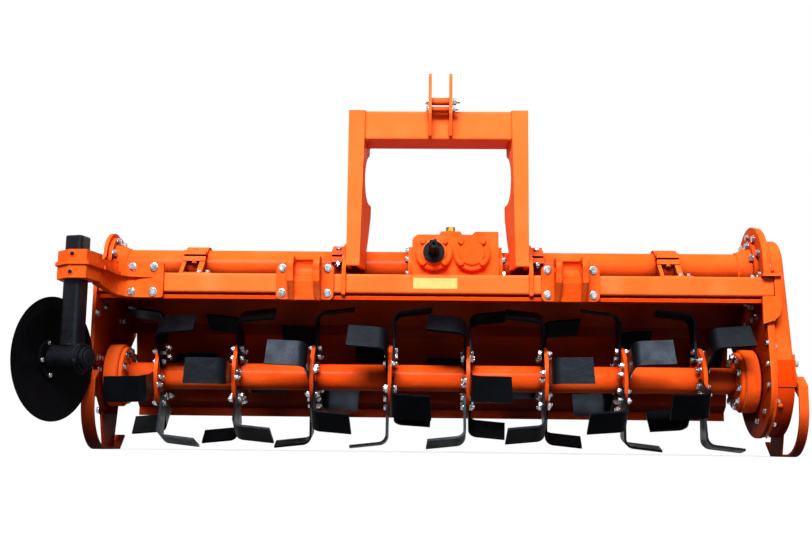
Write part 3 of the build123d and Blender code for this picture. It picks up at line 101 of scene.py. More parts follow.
class Nodes:
    """Writes the node tree of one material."""

    def __init__(self, name):
        self.mat = bpy.data.materials.new(name)
        self.mat.use_nodes = True
        self.tree = self.mat.node_tree
        self.tree.nodes.clear()
        self.out = self.new("ShaderNodeOutputMaterial")
        self.coord = self.new("ShaderNodeTexCoord").outputs["Object"]

    def new(self, kind, **values):
        node = self.tree.nodes.new(kind)
        for key, value in values.items():
            setattr(node, key, value)
        return node

    def link(self, a, b):
        self.tree.links.new(a, b)

    def noise(self, scale, detail=3, rough=0.55):
        node = self.new("ShaderNodeTexNoise")
        self.link(self.coord, node.inputs["Vector"])
        node.inputs["Scale"].default_value = scale
        node.inputs["Detail"].default_value = detail
        node.inputs["Roughness"].default_value = rough
        return node.outputs["Fac"]

    def ramp(self, source, stops):
        node = self.new("ShaderNodeValToRGB")
        ramp = node.color_ramp
        while len(ramp.elements) < len(stops):
            ramp.elements.new(0.5)
        for element, (place, colour) in zip(ramp.elements, stops):
            element.position = place
            element.color = colour
        self.link(source, node.inputs["Fac"])
        return node.outputs["Color"]

    def grey(self, source, low, high, start=0.3, end=0.7):
        node = self.new("ShaderNodeMapRange")
        values = {"From Min": start, "From Max": end, "To Min": low, "To Max": high}
        for key, value in values.items():
            node.inputs[key].default_value = value
        self.link(source, node.inputs["Value"])
        return node.outputs["Result"]

    def mix(self, fac, a, b):
        node = self.new("ShaderNodeMix", data_type="RGBA")
        for socket, value in ((node.inputs[0], fac), (node.inputs[6], a), (node.inputs[7], b)):
            if isinstance(value, bpy.types.NodeSocket):
                self.link(value, socket)
            else:
                socket.default_value = value
        return node.outputs[2]

    def multiply(self, a, b):
        node = self.new("ShaderNodeMath", operation="MULTIPLY")
        self.link(a, node.inputs[0])
        self.link(b, node.inputs[1])
        return node.outputs[0]

    def edges(self, radius):
        """Near 1 on a corner of the real form, 0 on its flats."""
        bevel = self.new("ShaderNodeBevel", samples=4)
        bevel.inputs["Radius"].default_value = radius
        geo = self.new("ShaderNodeNewGeometry")
        dot = self.new("ShaderNodeVectorMath", operation="DOT_PRODUCT")
        self.link(bevel.outputs["Normal"], dot.inputs[0])
        self.link(geo.outputs["Normal"], dot.inputs[1])
        return self.grey(dot.outputs["Value"], 1, 0, 0.8, 1.0)

    def painted_shade_mask(self, reach, low, high):
        """Painted shade mask from ambient occlusion: 1 in hollows and under cover, 0 in the open.
        """
        node = self.new("ShaderNodeAmbientOcclusion", samples=3)
        node.inputs["Distance"].default_value = reach
        return self.grey(node.outputs["AO"], 1, 0, low, high)

    def shader(self, colour, rough, bumps, round_off=0.0015, **fixed):
        """Principled shader; bumps is a list of (height source, distance)."""
        node = self.new("ShaderNodeBsdfPrincipled")
        for socket, value in (("Base Color", colour), ("Roughness", rough)):
            if isinstance(value, bpy.types.NodeSocket):
                self.link(value, node.inputs[socket])
            else:
                node.inputs[socket].default_value = value
        normal = None
        if round_off:
            bevel = self.new("ShaderNodeBevel", samples=4)
            bevel.inputs["Radius"].default_value = round_off
            normal = bevel.outputs["Normal"]
        for source, distance in bumps:
            bump = self.new("ShaderNodeBump")
            bump.inputs["Distance"].default_value = distance
            self.link(source, bump.inputs["Height"])
            if normal is not None:
                self.link(normal, bump.inputs["Normal"])
            normal = bump.outputs["Normal"]
        if normal is not None:
            self.link(normal, node.inputs["Normal"])
        for key, value in fixed.items():
            node.inputs[key.replace("_", " ")].default_value = value
        self.link(node.outputs["BSDF"], self.out.inputs["Surface"])
        return self.mat


def paint(name, base, shade, dust, worn, painted_shade_reach=0.5, peel=1.0, rough=0.6):
    """Sprayed paint: orange peel, slow colour drift, faint dust, thin edges, and painted shade
    darkening it in hollows and under cover.
    """
    n = Nodes(name)
    drift = n.ramp(n.noise(2.2, 4), [(0.3, shade), (0.7, base)])
    specks = n.grey(n.noise(420, 2, 0.7), 0, 0.35, 0.62, 0.8)
    colour = n.mix(specks, drift, shade)
    film = n.grey(n.noise(9, 5, 0.62), 0, 0.22, 0.5, 0.75)
    colour = n.mix(film, colour, dust)
    thin = n.multiply(n.edges(0.0022), n.grey(n.noise(60, 4, 0.7), 0, 0.75, 0.42, 0.62))
    colour = n.mix(thin, colour, worn)
    # painted shade: the colour darkens to a deep red in hollows and under cover, found by ambient
    # occlusion
    if painted_shade_reach:
        colour = n.mix(n.painted_shade_mask(painted_shade_reach, 0.3, 0.7), colour, PAINTED_SHADE)
    gloss = n.grey(n.noise(14, 3), rough - 0.06, rough + 0.1)
    bumps = [(n.noise(260 / peel, 2), 0.0006 * peel), (n.noise(38, 3), 0.0009 * peel)]
    return n.shader(
        colour, gloss, bumps, Specular_IOR_Level=0.0, Coat_Weight=0.05, Coat_Roughness=0.2
    )


def cast(name, base, shade, dust):
    """Painted casting: coarse sand texture under the same paint, with painted shade in its
    hollows.
    """
    n = Nodes(name)
    drift = n.ramp(n.noise(5, 5), [(0.3, shade), (0.68, base)])
    pits = n.grey(n.noise(240, 4, 0.75), 0, 0.5, 0.56, 0.72)
    colour = n.mix(pits, drift, shade)
    colour = n.mix(n.grey(n.noise(12, 4), 0, 0.18, 0.5, 0.75), colour, dust)
    # painted shade: darker red in the casting's hollows and recesses, by ambient occlusion
    colour = n.mix(n.painted_shade_mask(0.08, 0.02, 0.38), colour, CAST_PAINTED_SHADE)
    gloss = n.grey(n.noise(25, 3), 0.58, 0.75)
    bumps = [(n.noise(210, 5, 0.7), 0.0022), (n.noise(30, 4), 0.0035)]
    return n.shader(
        colour, gloss, bumps, 0.003, Specular_IOR_Level=0.0, Coat_Weight=0.07, Coat_Roughness=0.32
    )


def dark_steel(name, base, sheen, rough, blotch, mirror):
    """Dark paint over forged steel: scuffed edges and a cold sheen, painted by facing: strong on
    faces turned up, weakest on undersides.
    """
    n = Nodes(name)
    colour = n.ramp(n.noise(blotch, 5, 0.65), [(0.35, base), (0.75, sheen)])
    scuff = n.multiply(n.edges(0.002), n.grey(n.noise(90, 4, 0.7), 0, 0.8, 0.5, 0.68))
    colour = n.mix(scuff, colour, SCUFFED)
    gloss = n.grey(n.noise(blotch * 2.5, 4), rough - 0.08, rough + 0.14)
    bumps = [(n.noise(300, 3, 0.7), 0.0008), (n.noise(24, 4), 0.0022)]
    n.shader(colour, gloss, bumps, Specular_Tint=COLD, IOR=1.5)
    # painted sheen: the reflection strength follows the world normal's height, strong on upward
    # faces and faint on undersides
    geo = n.new("ShaderNodeNewGeometry")
    tilt = n.new("ShaderNodeSeparateXYZ")
    n.link(geo.outputs["Normal"], tilt.inputs[0])
    painted_sheen_level = n.grey(tilt.outputs["Z"], mirror * 0.1, mirror, -0.3, 0.1)
    n.link(painted_sheen_level, n.tree.nodes["Principled BSDF"].inputs["Specular IOR Level"])
    return n.mat


def metal(name, base, shade, rough):
    """Bare or plated metal with a fine grain."""
    n = Nodes(name)
    colour = n.ramp(n.noise(70, 5, 0.6), [(0.3, shade), (0.7, base)])
    gloss = n.grey(n.noise(160, 3), rough - 0.08, rough + 0.12)
    return n.shader(colour, gloss, [(n.noise(600, 3), 0.0002)], round_off=0.0006, Metallic=1.0)


ORANGE, ORANGE_DEEP, WORN = srgb(243, 94, 32), srgb(232, 82, 22), srgb(252, 150, 84)
DUSTY, PAINTED_SHADE, CAST_PAINTED_SHADE = srgb(250, 128, 70), srgb(96, 6, 0), srgb(216, 62, 12)
SCUFFED, COLD = srgb(70, 74, 86), (0.66, 0.78, 1.0, 1)
orange = paint("orange_paint_coat", ORANGE, ORANGE_DEEP, DUSTY, WORN)
# painted light: a paler copy of the orange, without the painted shade, for the front faces that
# catch the lamp
lit_orange = paint(
    "open_orange_coat", srgb(246, 104, 46), srgb(238, 92, 34), srgb(251, 138, 86), WORN, painted_shade_reach=0
)
# painted shade: the rotor's copy of the paint is a little darker and darkens in its hollows over a
# shorter reach
rotor_orange = paint(
    "rotor_orange_coat", srgb(238, 84, 24), srgb(222, 70, 14), DUSTY, WORN, painted_shade_reach=0.22
)
# painted shade: a darker copy of the orange for the case guard and the hood lip, which get less
# light
shaded_orange = paint(
    "deep_orange_coat", srgb(210, 60, 6), srgb(198, 50, 4), srgb(226, 88, 30), WORN, painted_shade_reach=0.3
)
orange_cast = cast("orange_cast_coat", srgb(242, 92, 28), srgb(220, 72, 16), DUSTY)
blade_black = dark_steel("blade_black", srgb(2, 2, 3), srgb(7, 8, 12), 0.36, 7, 0.16)
shank_black = dark_steel("shank_black", srgb(4, 4, 5), srgb(14, 15, 18), 0.4, 26, 0.18)
disc_black = dark_steel("disc_black", srgb(3, 3, 4), srgb(6, 6, 7), 0.5, 12, 0.05)
zinc = metal("zinc_plate", srgb(196, 198, 202), srgb(120, 122, 128), 0.24)
brass = metal("brass_body", srgb(186, 142, 62), srgb(112, 74, 26), 0.32)
steel = metal("machined_steel", srgb(170, 172, 176), srgb(112, 114, 120), 0.34)


def rubber_material():
    n = Nodes("black_rubber_skin")
    colour = n.ramp(n.noise(55, 4), [(0.35, srgb(5, 5, 7)), (0.7, srgb(13, 13, 18))])
    gloss = n.grey(n.noise(90, 3), 0.45, 0.65)
    return n.shader(colour, gloss, [(n.noise(420, 3), 0.0006)], Specular_IOR_Level=0.1)


def label_material():
    n = Nodes("blank_label_film")
    colour = n.ramp(n.noise(18, 3), [(0.35, srgb(176, 160, 74)), (0.7, srgb(186, 172, 88))])
    gloss = n.grey(n.noise(40, 3), 0.25, 0.4)
    return n.shader(colour, gloss, [(n.noise(500, 2), 0.0002)], Coat_Weight=0.4)


def weld_material():
    n = Nodes("painted_weld")
    colour = n.ramp(n.noise(120, 4), [(0.3, srgb(224, 70, 12)), (0.7, srgb(250, 100, 34))])
    gloss = n.grey(n.noise(120, 3), 0.4, 0.6)
    bumps = [(n.noise(700, 3), 0.0006)]
    return n.shader(colour, gloss, bumps, Specular_IOR_Level=0.0, Coat_Weight=0.05)


rubber, label, weld = rubber_material(), label_material(), weld_material()

CAST_NODES = (
    "gearbox", "input_cover", "blank_cover", "hitch_bracket_left", "hitch_bracket_right",
    "gear_case", "rotor_hub_left", "rotor_hub_right", "coulter_arm", "bearing_housing",
)
OTHER = {
    "blades_left": blade_black, "blades_right": blade_black, "coulter_shank": shank_black,
    "coulter_disc": disc_black, "seal_collar": rubber, "breather_cap": brass, "pto_shaft": steel,
    "top_link_spacers": orange, "rotor_shaft": rotor_orange, "crossbeam": lit_orange,
    "toolbar": lit_orange, "upright_left": lit_orange, "upright_right": lit_orange,
    "top_link_ears": lit_orange, "case_guard": shaded_orange,
}
for name, obj in NODES.items():
    finish = OTHER.get(name) or (orange_cast if name in CAST_NODES else orange)
    if not obj.data.materials:
        obj.data.materials.append(finish)
    for index in range(len(obj.data.materials)):
        obj.data.materials[index] = finish


# ---------------------------------------------------------------- shapes
BEAD_SIDES = 6
BEAD_STEP = 0.45  # of the bead's width, between two of its rings
BEAD_SWELL, BEAD_CHANCE = 0.16, 0.07  # regular and random change of a bead's radius
BEAD_END = 0.35  # of the radius, at an open end
SHARP_ABOVE = math.radians(32)


def skin(rings):
    """Quads between each ring of vertex numbers and the next."""
    faces = []
    for low, high in zip(rings, rings[1:]):
        for k in range(len(low)):
            m = (k + 1) % len(low)
            faces.append([low[k], low[m], high[m], high[k]])
    return faces


def ring_points(middle, side, up, radius, count, spin=0.0):
    angles = (spin + 2 * math.pi * k / count for k in range(count))
    return [middle + (side * math.cos(a) + up * math.sin(a)) * radius for a in angles]


class Shape:
    """Collects many small forms, in machine millimetres, into one mesh piece on one body."""

    def __init__(self, name, body, materials, slots):
        self.name, self.body, self.materials, self.slots = name, body, materials, slots
        self.verts, self.faces, self.mats = [], [], []

    def add(self, verts, faces, mat=0):
        base = len(self.verts)
        self.verts += [Vector(v) for v in verts]
        self.faces += [[base + i for i in f] for f in faces]
        self.mats += [mat] * len(faces)

    def stack(self, verts, sides, mat):
        """Rings of as many vertices as sides, joined each to the next and closed at both ends."""
        rings = [list(range(i, i + sides)) for i in range(0, len(verts), sides)]
        self.add(verts, skin(rings) + [rings[0][::-1], rings[-1]], mat)

    def turned(self, centre, axis, profile, sides=16, mat=0, spin=0.0):
        """Solid of revolution from (along, radius) pairs; closed at both ends."""
        axis = Vector(axis).normalized()
        side = axis.orthogonal().normalized()
        up = axis.cross(side)
        verts = []
        for along, radius in profile:
            verts += ring_points(Vector(centre) + axis * along, side, up, radius, sides, spin)
        self.stack(verts, sides, mat)

    def bolt(self, place, axis, size=12, washer=True, mat=0, spin=None):
        """Hexagon head with a turned washer; size is the thread's diameter."""
        spin = rng.uniform(0, 1.0) if spin is None else spin
        start = 0.0
        if washer:
            disc = [(0, size * 1.05), (size * 0.18, size * 1.05), (size * 0.2, size * 0.98)]
            self.turned(place, axis, disc, 18, mat)
            start = size * 0.2
        r = size * 0.9
        head = [
            (start, r * 0.92), (start + size * 0.06, r),
            (start + size * 0.52, r), (start + size * 0.64, r * 0.84),
        ]
        self.turned(place, axis, head, 6, mat, spin)

    def nut(self, place, axis, size=12, mat=0, end=0.9):
        """Nut with its washer on a bolt's threaded end; end is the thread past it, of size."""
        spin = rng.uniform(0, 1.0)
        self.turned(place, axis, [(0, size * 1.05), (size * 0.2, size * 1.02)], 18, mat)
        r = size * 0.92
        nut = [(size * 0.2, r * 0.9), (size * 0.3, r), (size * 0.95, r), (size * 1.05, r * 0.86)]
        self.turned(place, axis, nut, 6, mat, spin)
        thread = [(size * 1.0, size * 0.5)]
        for k in range(4):
            step = size * (1.05 + end * (k + 0.5) / 4)
            thread += [
                (step, size * 0.5),
                (step + size * end / 16, size * 0.44),
                (step + size * end / 8, size * 0.5),
            ]
        thread.append((size * (1.1 + end), size * 0.4))
        self.turned(place, axis, thread, 12, mat)

    def bead(self, points, width=7.0, mat=0, closed=False):
        """Weld bead with ripples along a run of points."""
        points = [Vector(p) for p in points]
        if closed:
            points.append(points[0])
        line = []
        for a, b in zip(points, points[1:]):
            steps = max(2, int((b - a).length / (width * BEAD_STEP)))
            line += [a.lerp(b, k / steps) for k in range(steps)]
        line.append(points[-1])
        verts = []
        for k, p in enumerate(line):
            ahead = line[min(k + 1, len(line) - 1)] - line[max(k - 1, 0)]
            ahead.normalize()
            side = ahead.orthogonal().normalized()
            up = ahead.cross(side)
            swell = 0.86 + BEAD_SWELL * math.sin(k * 2.4)
            r = width * 0.5 * (swell + rng.uniform(-BEAD_CHANCE, BEAD_CHANCE))
            if not closed and k in (0, len(line) - 1):
                r *= BEAD_END
            verts += ring_points(p, side, up, r, BEAD_SIDES)
        self.stack(verts, BEAD_SIDES, mat)

    def plate(self, outline, start, thick, plane="xz", mat=0, edge=1.5):
        """Flat plate, chamfered on its far side.

        outline is in the plane's two axes, and start is the plate's near side on the third.
        """
        def put(a, b, c):
            return {"xz": (a, c, b), "yz": (c, a, b), "xy": (a, b, c)}[plane]

        count = len(outline)
        mid_a, mid_b = sum(p[0] for p in outline) / count, sum(p[1] for p in outline) / count
        verts = []
        for depth, inset in ((0.0, 0.0), (thick - math.copysign(edge, thick), 0.0), (thick, edge)):
            for a, b in outline:
                k = 1 - inset / max(math.hypot(a - mid_a, b - mid_b), 1e-6)
                verts.append(put(mid_a + (a - mid_a) * k, mid_b + (b - mid_b) * k, start + depth))
        self.stack(verts, count, mat)

    def make(self, *replaced):
        mesh = bpy.data.meshes.new(self.name)
        mesh.from_pydata([at(*v) for v in self.verts], [], self.faces)
        for material in self.materials:
            mesh.materials.append(material)
        mesh.polygons.foreach_set("material_index", self.mats)
        mesh.polygons.foreach_set("use_smooth", [True] * len(self.faces))
        mesh.validate()
        mesh.update()
        mesh.set_sharp_from_angle(angle=SHARP_ABOVE)
        obj = bpy.data.objects.new(self.name, mesh)
        bpy.context.scene.collection.objects.link(obj)
        # outward faces whatever order a form was written in
        bpy.context.view_layer.objects.active = obj
        obj.select_set(True)
        bpy.ops.object.mode_set(mode="EDIT")
        bpy.ops.mesh.select_all(action="SELECT")
        bpy.ops.mesh.normals_make_consistent(inside=False)
        bpy.ops.object.mode_set(mode="OBJECT")
        obj.select_set(False)
        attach(obj, self.body)
        if replaced:
            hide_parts(*replaced)
        return obj


def circle(centre, axis, radius, count, first=0.0):
    """Points evenly round an axis; first is in degrees from the upward direction."""
    axis = Vector(axis).normalized()
    up = Z if abs(axis.z) < 0.9 else Y
    side = axis.cross(up).normalized()
    up = side.cross(axis)
    return [
        Vector(centre) + (up * math.cos(a) + side * math.sin(a)) * radius
        for a in (math.radians(first + 360 * k / count) for k in range(count))
    ]


# Bolt circles below are (radius, count, first angle), as circle() takes them.

# ---------------------------------------------------------------- power take-off shaft and gearbox
SPLINE_COUNT, SPLINE_POINTS, SPLINE_DEPTH = 6, 12, 2.9
SHAFT_R, COLLAR_R = 17.5, 21.0
NARROW = 0.86  # of the shaft's radius, at the tip and in the groove
TIP_CHAMFER = 2.0
GROOVE_FROM_TIP, GROOVE_WIDTH = 38.0, 8.0
RUN_OUT = 6.0  # of the splines, before the collar
COLLAR_AHEAD = 4.0  # of the seal collar
CENTRE_HOLE = ((5.6, 0.0), (5.0, 1.0), (4.6, 11.0))  # radius and depth
COVER_BOLT_SHARE = 0.82  # of the cover's radius
COVER_BOLTS = (4, 45)
GEARBOX_BOLTS = (64, 8, 22.5)


def splined_shaft():
    b = BOX["pto_shaft"]
    shape = Shape("splined_shaft", "pto", [steel, blade_black], "blade_steel")
    collar_y = BOX["seal_collar"].y0 - COLLAR_AHEAD
    bare = collar_y - b.y0
    groove_end = GROOVE_FROM_TIP + GROOVE_WIDTH
    stations = (  # distance from the tip, share of the radius, splined or not
        (0.0, NARROW, True), (TIP_CHAMFER, 1.0, True), (GROOVE_FROM_TIP, 1.0, True),
        (GROOVE_FROM_TIP + 1, NARROW, False), (groove_end - 1, NARROW, False),
        (groove_end, 1.0, True), (bare - RUN_OUT, 1.0, True), (bare, 1.0, False),
    )
    steps = SPLINE_COUNT * SPLINE_POINTS
    verts = []

    def ring(along, radii):
        for k, r in enumerate(radii):
            a = 2 * math.pi * k / steps
            verts.append((b.x + r * math.cos(a), b.y0 + along, b.z + r * math.sin(a)))
        return list(range(len(verts) - steps, len(verts)))

    rings = []
    for along, share, splined in stations:
        cut = [splined and k % SPLINE_POINTS >= SPLINE_POINTS / 2 for k in range(steps)]
        rings.append(ring(along, [SHAFT_R * share - (SPLINE_DEPTH if low else 0) for low in cut]))
    hole = [ring(depth, [r] * steps) for r, depth in CENTRE_HOLE]
    shape.add(verts, skin(rings) + skin([rings[0], *hole]) + [hole[-1]], 1)
    collar = [(0, COLLAR_R - 1), (1.2, COLLAR_R), (b.y1 - collar_y, COLLAR_R)]
    shape.turned((b.x, collar_y, b.z), Y, collar, 40, 1)
    shape.make("pto_shaft")


splined_shaft()

gearbox, seal = BOX["gearbox"], BOX["seal_collar"]
cover_face_y = BOX["input_cover"].y0
box_bolts = Shape("gearbox_fasteners", "frame", [zinc, orange_cast], "zinc")
for cover in ("input_cover", "blank_cover"):
    c = BOX[cover]
    bolt_r = (c.x1 - c.x0) / 2 * COVER_BOLT_SHARE
    for p in circle((c.x, cover_face_y, c.z), -Y, bolt_r, *COVER_BOLTS):
        box_bolts.turned(p + Y * 6, -Y, [(0, 12.5), (7, 12.5), (8, 11.5)], 20, 1)
        box_bolts.bolt(p - Y * 2, -Y, 11, mat=1)
box_bolts.turned((seal.x, seal.y1 - 1, seal.z), -Y, [(0, 44), (5, 43), (6, 40)], 48, 1)
for side, x in ((-1, gearbox.x0), (1, gearbox.x1)):
    for p in circle((x, TUBE_Y, TUBE_Z), X * side, *GEARBOX_BOLTS):
        box_bolts.bolt(p, X * side, 12)
box_bolts.make()

# ---------------------------------------------------------------- main tube, walls and gear case
TUBE_FLANGE_T = 14.0
TUBE_FLANGE_BOLTS = (88, 8, 22.5)
TUBE_WELD_OUT, TUBE_WELD = 40, (61.5, 40)  # from the flange's face; radius and points of the ring
CASE_TOP_BOLTS = (120, 10, 5)
BEARING_BOLTS, BEARING_FLANGE_T, BEARING_RECESS = (64, 6, 30), 22, 4
SKID_FRONT_BOLTS = ((30, 300), (62, 300), (46, 262))  # y and z, here and below
LEFT_WALL_BOLTS = ((83, 474), (4, 443), (-12, 443), (269, 447), (306, 451), *SKID_FRONT_BOLTS)
RIGHT_WALL_BOLTS = (
    (116, 462), (9, 446), (192, 505), (265, 451), (170, 458),
    (5, 367), (5, 299), (5, 231), (62, 149), (147, 118),
)
RIM_OUT = 11  # the gear case's rim, from the wall
RIM_TOP_R, RIM_LOW_R, RIM_PITCH = 124.0, 183.0, 92.0
BARE_TOP_R, BARE_LOW_R = 108, 180  # no rim bolt is nearer to the upper or the lower axis
ARC_STEPS = 60
LOW_COVER_BOLTS, LOW_COVER_OUT = (54, 6, 0), 6
TOP_COVER_BOLTS, TOP_COVER_OUT = (42, 6, 30), 5
LEVEL_PLUG, DRAIN_PLUG = (175, 440), (250, 112)
GUARD_X, GUARD_R = 1104, 192
GUARD_DOWN_FRONT = Vector((0, -0.89, -0.456))

left_wall, right_wall = BOX["left_wall"], BOX["right_wall"]
side_bolts = Shape("tube_and_wall_bolts", "frame", [zinc, orange_cast, weld, orange], "zinc")
for wall_in, side in ((left_wall.x1, 1), (right_wall.x0, -1)):
    flange = wall_in + side * TUBE_FLANGE_T
    for p in circle((flange, TUBE_Y, TUBE_Z), X * side, *TUBE_FLANGE_BOLTS):
        side_bolts.bolt(p, X * side, 14)
    neck = (flange + side * TUBE_WELD_OUT, TUBE_Y, TUBE_Z)
    side_bolts.bead(circle(neck, X, *TUBE_WELD), 7, 2, closed=True)
for p in circle((left_wall.x0, TUBE_Y, TUBE_Z), -X, *TUBE_FLANGE_BOLTS):
    side_bolts.nut(p, -X, 14, end=0.2)
for p in circle((right_wall.x0, TUBE_Y, TUBE_Z), -X, *CASE_TOP_BOLTS):
    side_bolts.bolt(p, -X, 12)
for wall_x, facing, places in (
    (left_wall.x1, X, LEFT_WALL_BOLTS),
    (right_wall.x0, -X, RIGHT_WALL_BOLTS),
):
    for y, z in places:
        side_bolts.bolt((wall_x, y, z), facing, 10)
bearing_face = BOX["bearing_housing"].x1 - BEARING_FLANGE_T
for p in circle((bearing_face, ROTOR_Y, ROTOR_Z), -X, *BEARING_BOLTS):
    side_bolts.bolt(p - X * BEARING_RECESS, -X, 12)


def lobes(r_top, r_low, step):
    """Points evenly along the belt round the two shaft axes of the gear case."""
    tilt = math.asin((r_low - r_top) / (TUBE_Z - ROTOR_Z))
    arcs = (
        (TUBE_Y, TUBE_Z, r_top, -tilt, math.pi + tilt),
        (ROTOR_Y, ROTOR_Z, r_low, math.pi + tilt, 2 * math.pi - tilt),
    )
    line = []
    for y, z, r, start, end in arcs:
        for k in range(ARC_STEPS + 1):
            angle = start + (end - start) * k / ARC_STEPS
            line.append((y + r * math.cos(angle), z + r * math.sin(angle)))
    line.append(line[0])
    total = sum(math.dist(a, b) for a, b in zip(line, line[1:]))
    count = round(total / step)
    points = []
    goal, run = total / count / 2, 0.0
    for a, b in zip(line, line[1:]):
        d = math.dist(a, b)
        while goal <= run + d and len(points) < count:
            t = (goal - run) / max(d, 1e-9)
            points.append((a[0] + (b[0] - a[0]) * t, a[1] + (b[1] - a[1]) * t))
            goal += total / count
        run += d
    return points


for y, z in lobes(RIM_TOP_R, RIM_LOW_R, RIM_PITCH):
    near_top = math.hypot(y - TUBE_Y, z - TUBE_Z) < BARE_TOP_R
    near_low = math.hypot(y - ROTOR_Y, z - ROTOR_Z) < BARE_LOW_R
    if not (near_top or near_low):
        side_bolts.bolt((right_wall.x1 + RIM_OUT, y, z), X, 10)
# cover plates, level plug and drain plug on the gear case
case_x = BOX["gear_case"].x1
low_cover = [(0, 66), (5, 66), (7, 63), (7, 40), (11, 38), (11, 30)]
side_bolts.turned((case_x, ROTOR_Y, ROTOR_Z), X, low_cover, 60, 1)
for p in circle((case_x + LOW_COVER_OUT, ROTOR_Y, ROTOR_Z), X, *LOW_COVER_BOLTS):
    side_bolts.bolt(p, X, 10)
side_bolts.turned((case_x, TUBE_Y, TUBE_Z), X, [(0, 52), (4, 52), (6, 49)], 56, 1)
for p in circle((case_x + TOP_COVER_OUT, TUBE_Y, TUBE_Z), X, *TOP_COVER_BOLTS):
    side_bolts.bolt(p, X, 8)
side_bolts.turned((case_x, *LEVEL_PLUG), X, [(0, 20), (4, 20), (5, 18)], 32, 1)
side_bolts.bolt((case_x + 4, *LEVEL_PLUG), X, 14)
side_bolts.bolt((case_x, *DRAIN_PLUG), X, 14)
# blister on the guard's outer face, near its inner edge
blister = Vector((GUARD_X, ROTOR_Y, ROTOR_Z)) + GUARD_DOWN_FRONT * GUARD_R
dome = [(-2, 9), (2, 9), (4, 7), (5.5, 4), (6, 1)]
side_bolts.turned(blister, GUARD_DOWN_FRONT, dome, 24, 3)
side_bolts.make()

# ---------------------------------------------------------------- toolbar, saddles, hitch brackets
PLATE_FRONT_Y = -14.0  # the plates bolted to the toolbar's front
ARM_BOLT_X, ARM_BOLT_Z = (-1008.0, -936.0), (514.0, 597.0)
SPLIT = math.radians(20)  # of the clamps round the tube, from level
SADDLE_PLATE_T, SADDLE_BOLT_Y = 6, 46
SADDLE_LUG_R, SADDLE_LUG_HALF = 79, 21
CLAMP_LUG_R, CLAMP_LUG_HALF = 85, 24
HANGER_BOLTS = ((96, 648), (232, 668))
LABEL_X, LABEL_ABOVE, LABEL_BELOW = (-79, 66), 17, 12

bar = BOX["toolbar"]
bar_bolts = Shape("toolbar_fasteners", "frame", [zinc, weld, orange_cast, label], "zinc")


def through_bar(x, z, size):
    bar_bolts.bolt((x, PLATE_FRONT_Y, z), -Y, size)
    bar_bolts.nut((x, 0, z), Y, size)


for node in ("hitch_bracket_left", "hitch_bracket_right"):
    b = BOX[node]
    for x in (b.x0 + 20, b.x1 - 20):
        for z in (b.z0 + 24, b.z1 - 36):
            through_bar(x, z, 12.5)
for x in ARM_BOLT_X:
    for z in ARM_BOLT_Z:
        through_bar(x, z, 13.5)
split = Vector((0, -math.cos(SPLIT), math.sin(SPLIT)))
across = Vector((0, math.sin(SPLIT), math.cos(SPLIT)))
for node in ("saddle_left", "saddle_right"):
    b = BOX[node]
    bar_bolts.bead([(b.x0, b.y0, bar.z1 + 2), (b.x1, b.y0, bar.z1 + 2)], 6, 1)
    for x in (b.x1 - 14, b.x1 - 42):
        bar_bolts.bolt((x, SADDLE_BOLT_Y, bar.z1 + SADDLE_PLATE_T), Z, 11)
    middle = Vector(((b.x0 + b.x1 - 32) / 2, TUBE_Y, TUBE_Z))
    for end in (-1, 1):
        lug = middle - split * end * SADDLE_LUG_R
        bar_bolts.bolt(lug + across * SADDLE_LUG_HALF, across, 9, mat=2)
        tip = [(0, 9), (6, 9), (7, 7.5)]
        bar_bolts.turned(lug - across * SADDLE_LUG_HALF, -across, tip, 6, 2)
for node, side in (("hanger_left", -1), ("hanger_right", 1)):
    b = BOX[node]
    outer, inner = (b.x1, b.x0) if side > 0 else (b.x0, b.x1)
    for x in (outer, inner):
        bar_bolts.bead([(x, -1, bar.z0), (x, -1, bar.z1)], 6, 1)
        bar_bolts.bead([(x, 0, bar.z1 + 1), (x, 62, bar.z1 + 1)], 6, 1)
    for y, z in HANGER_BOLTS:
        bar_bolts.bolt((outer, y, z), X * side, 12)
for node in ("tube_clamp_left", "tube_clamp_right"):
    for end in (-1, 1):
        lug = Vector((BOX[node].x, TUBE_Y, TUBE_Z)) - split * end * CLAMP_LUG_R
        bar_bolts.bolt(lug + across * CLAMP_LUG_HALF, across, 12)
        bar_bolts.nut(lug - across * CLAMP_LUG_HALF, -across, 12, end=0.4)
# blank label on the toolbar's face
left, right = LABEL_X
low, high = bar.z0 + LABEL_ABOVE, bar.z1 - LABEL_BELOW
corners = [(left, low), (left, high), (right, high), (right, low)]
bar_bolts.plate(corners, -0.02, -0.35, "xz", 3, 0.1)
bar_bolts.make()

# ---------------------------------------------------------------- headstock
BEAM_END_X = 247.0
EAR_HALF_PITCH, EAR_HALF_T = 34.5, 5.5
PIN_AHEAD = 31
TOP_LINK_BOLTS = ((23, 13), (-3, 10))  # above the beam's top, and size

head = Shape("headstock_fasteners", "frame", [zinc, weld], "zinc")
beam = BOX["crossbeam"]
for side, node in ((-1, "upright_left"), (1, "upright_right")):
    x, foot_z = side * BEAM_END_X, BOX[node].z0 + 1
    head.bead([(x, 6, beam.z0 + 2), (x, 6, beam.z1 - 2)], 7, 1)
    head.bead([(x, 9, beam.z0), (side * 235, 120, beam.z0)], 7, 1)
    head.bead([(x, 10, beam.z1), (side * 240, 124, beam.z1)], 6, 1)
    head.bead([(side * 258, 0, foot_z), (side * 300, 0, foot_z)], 6, 1)
ears = BOX["top_link_ears"]
for side in (-1, 1):
    for edge in (-1, 1):
        x = ears.x + side * EAR_HALF_PITCH + edge * EAR_HALF_T
        head.bead([(x, ears.y1 - 1, beam.z0 + 10), (x, ears.y1 - 1, beam.z1 - 1)], 5, 1)
for above, size in TOP_LINK_BOLTS:
    y, z = ears.y1 - PIN_AHEAD, beam.z1 + above
    head.bolt((ears.x0, y, z), -X, size)
    head.nut((ears.x1, y, z), X, size)
head.make()

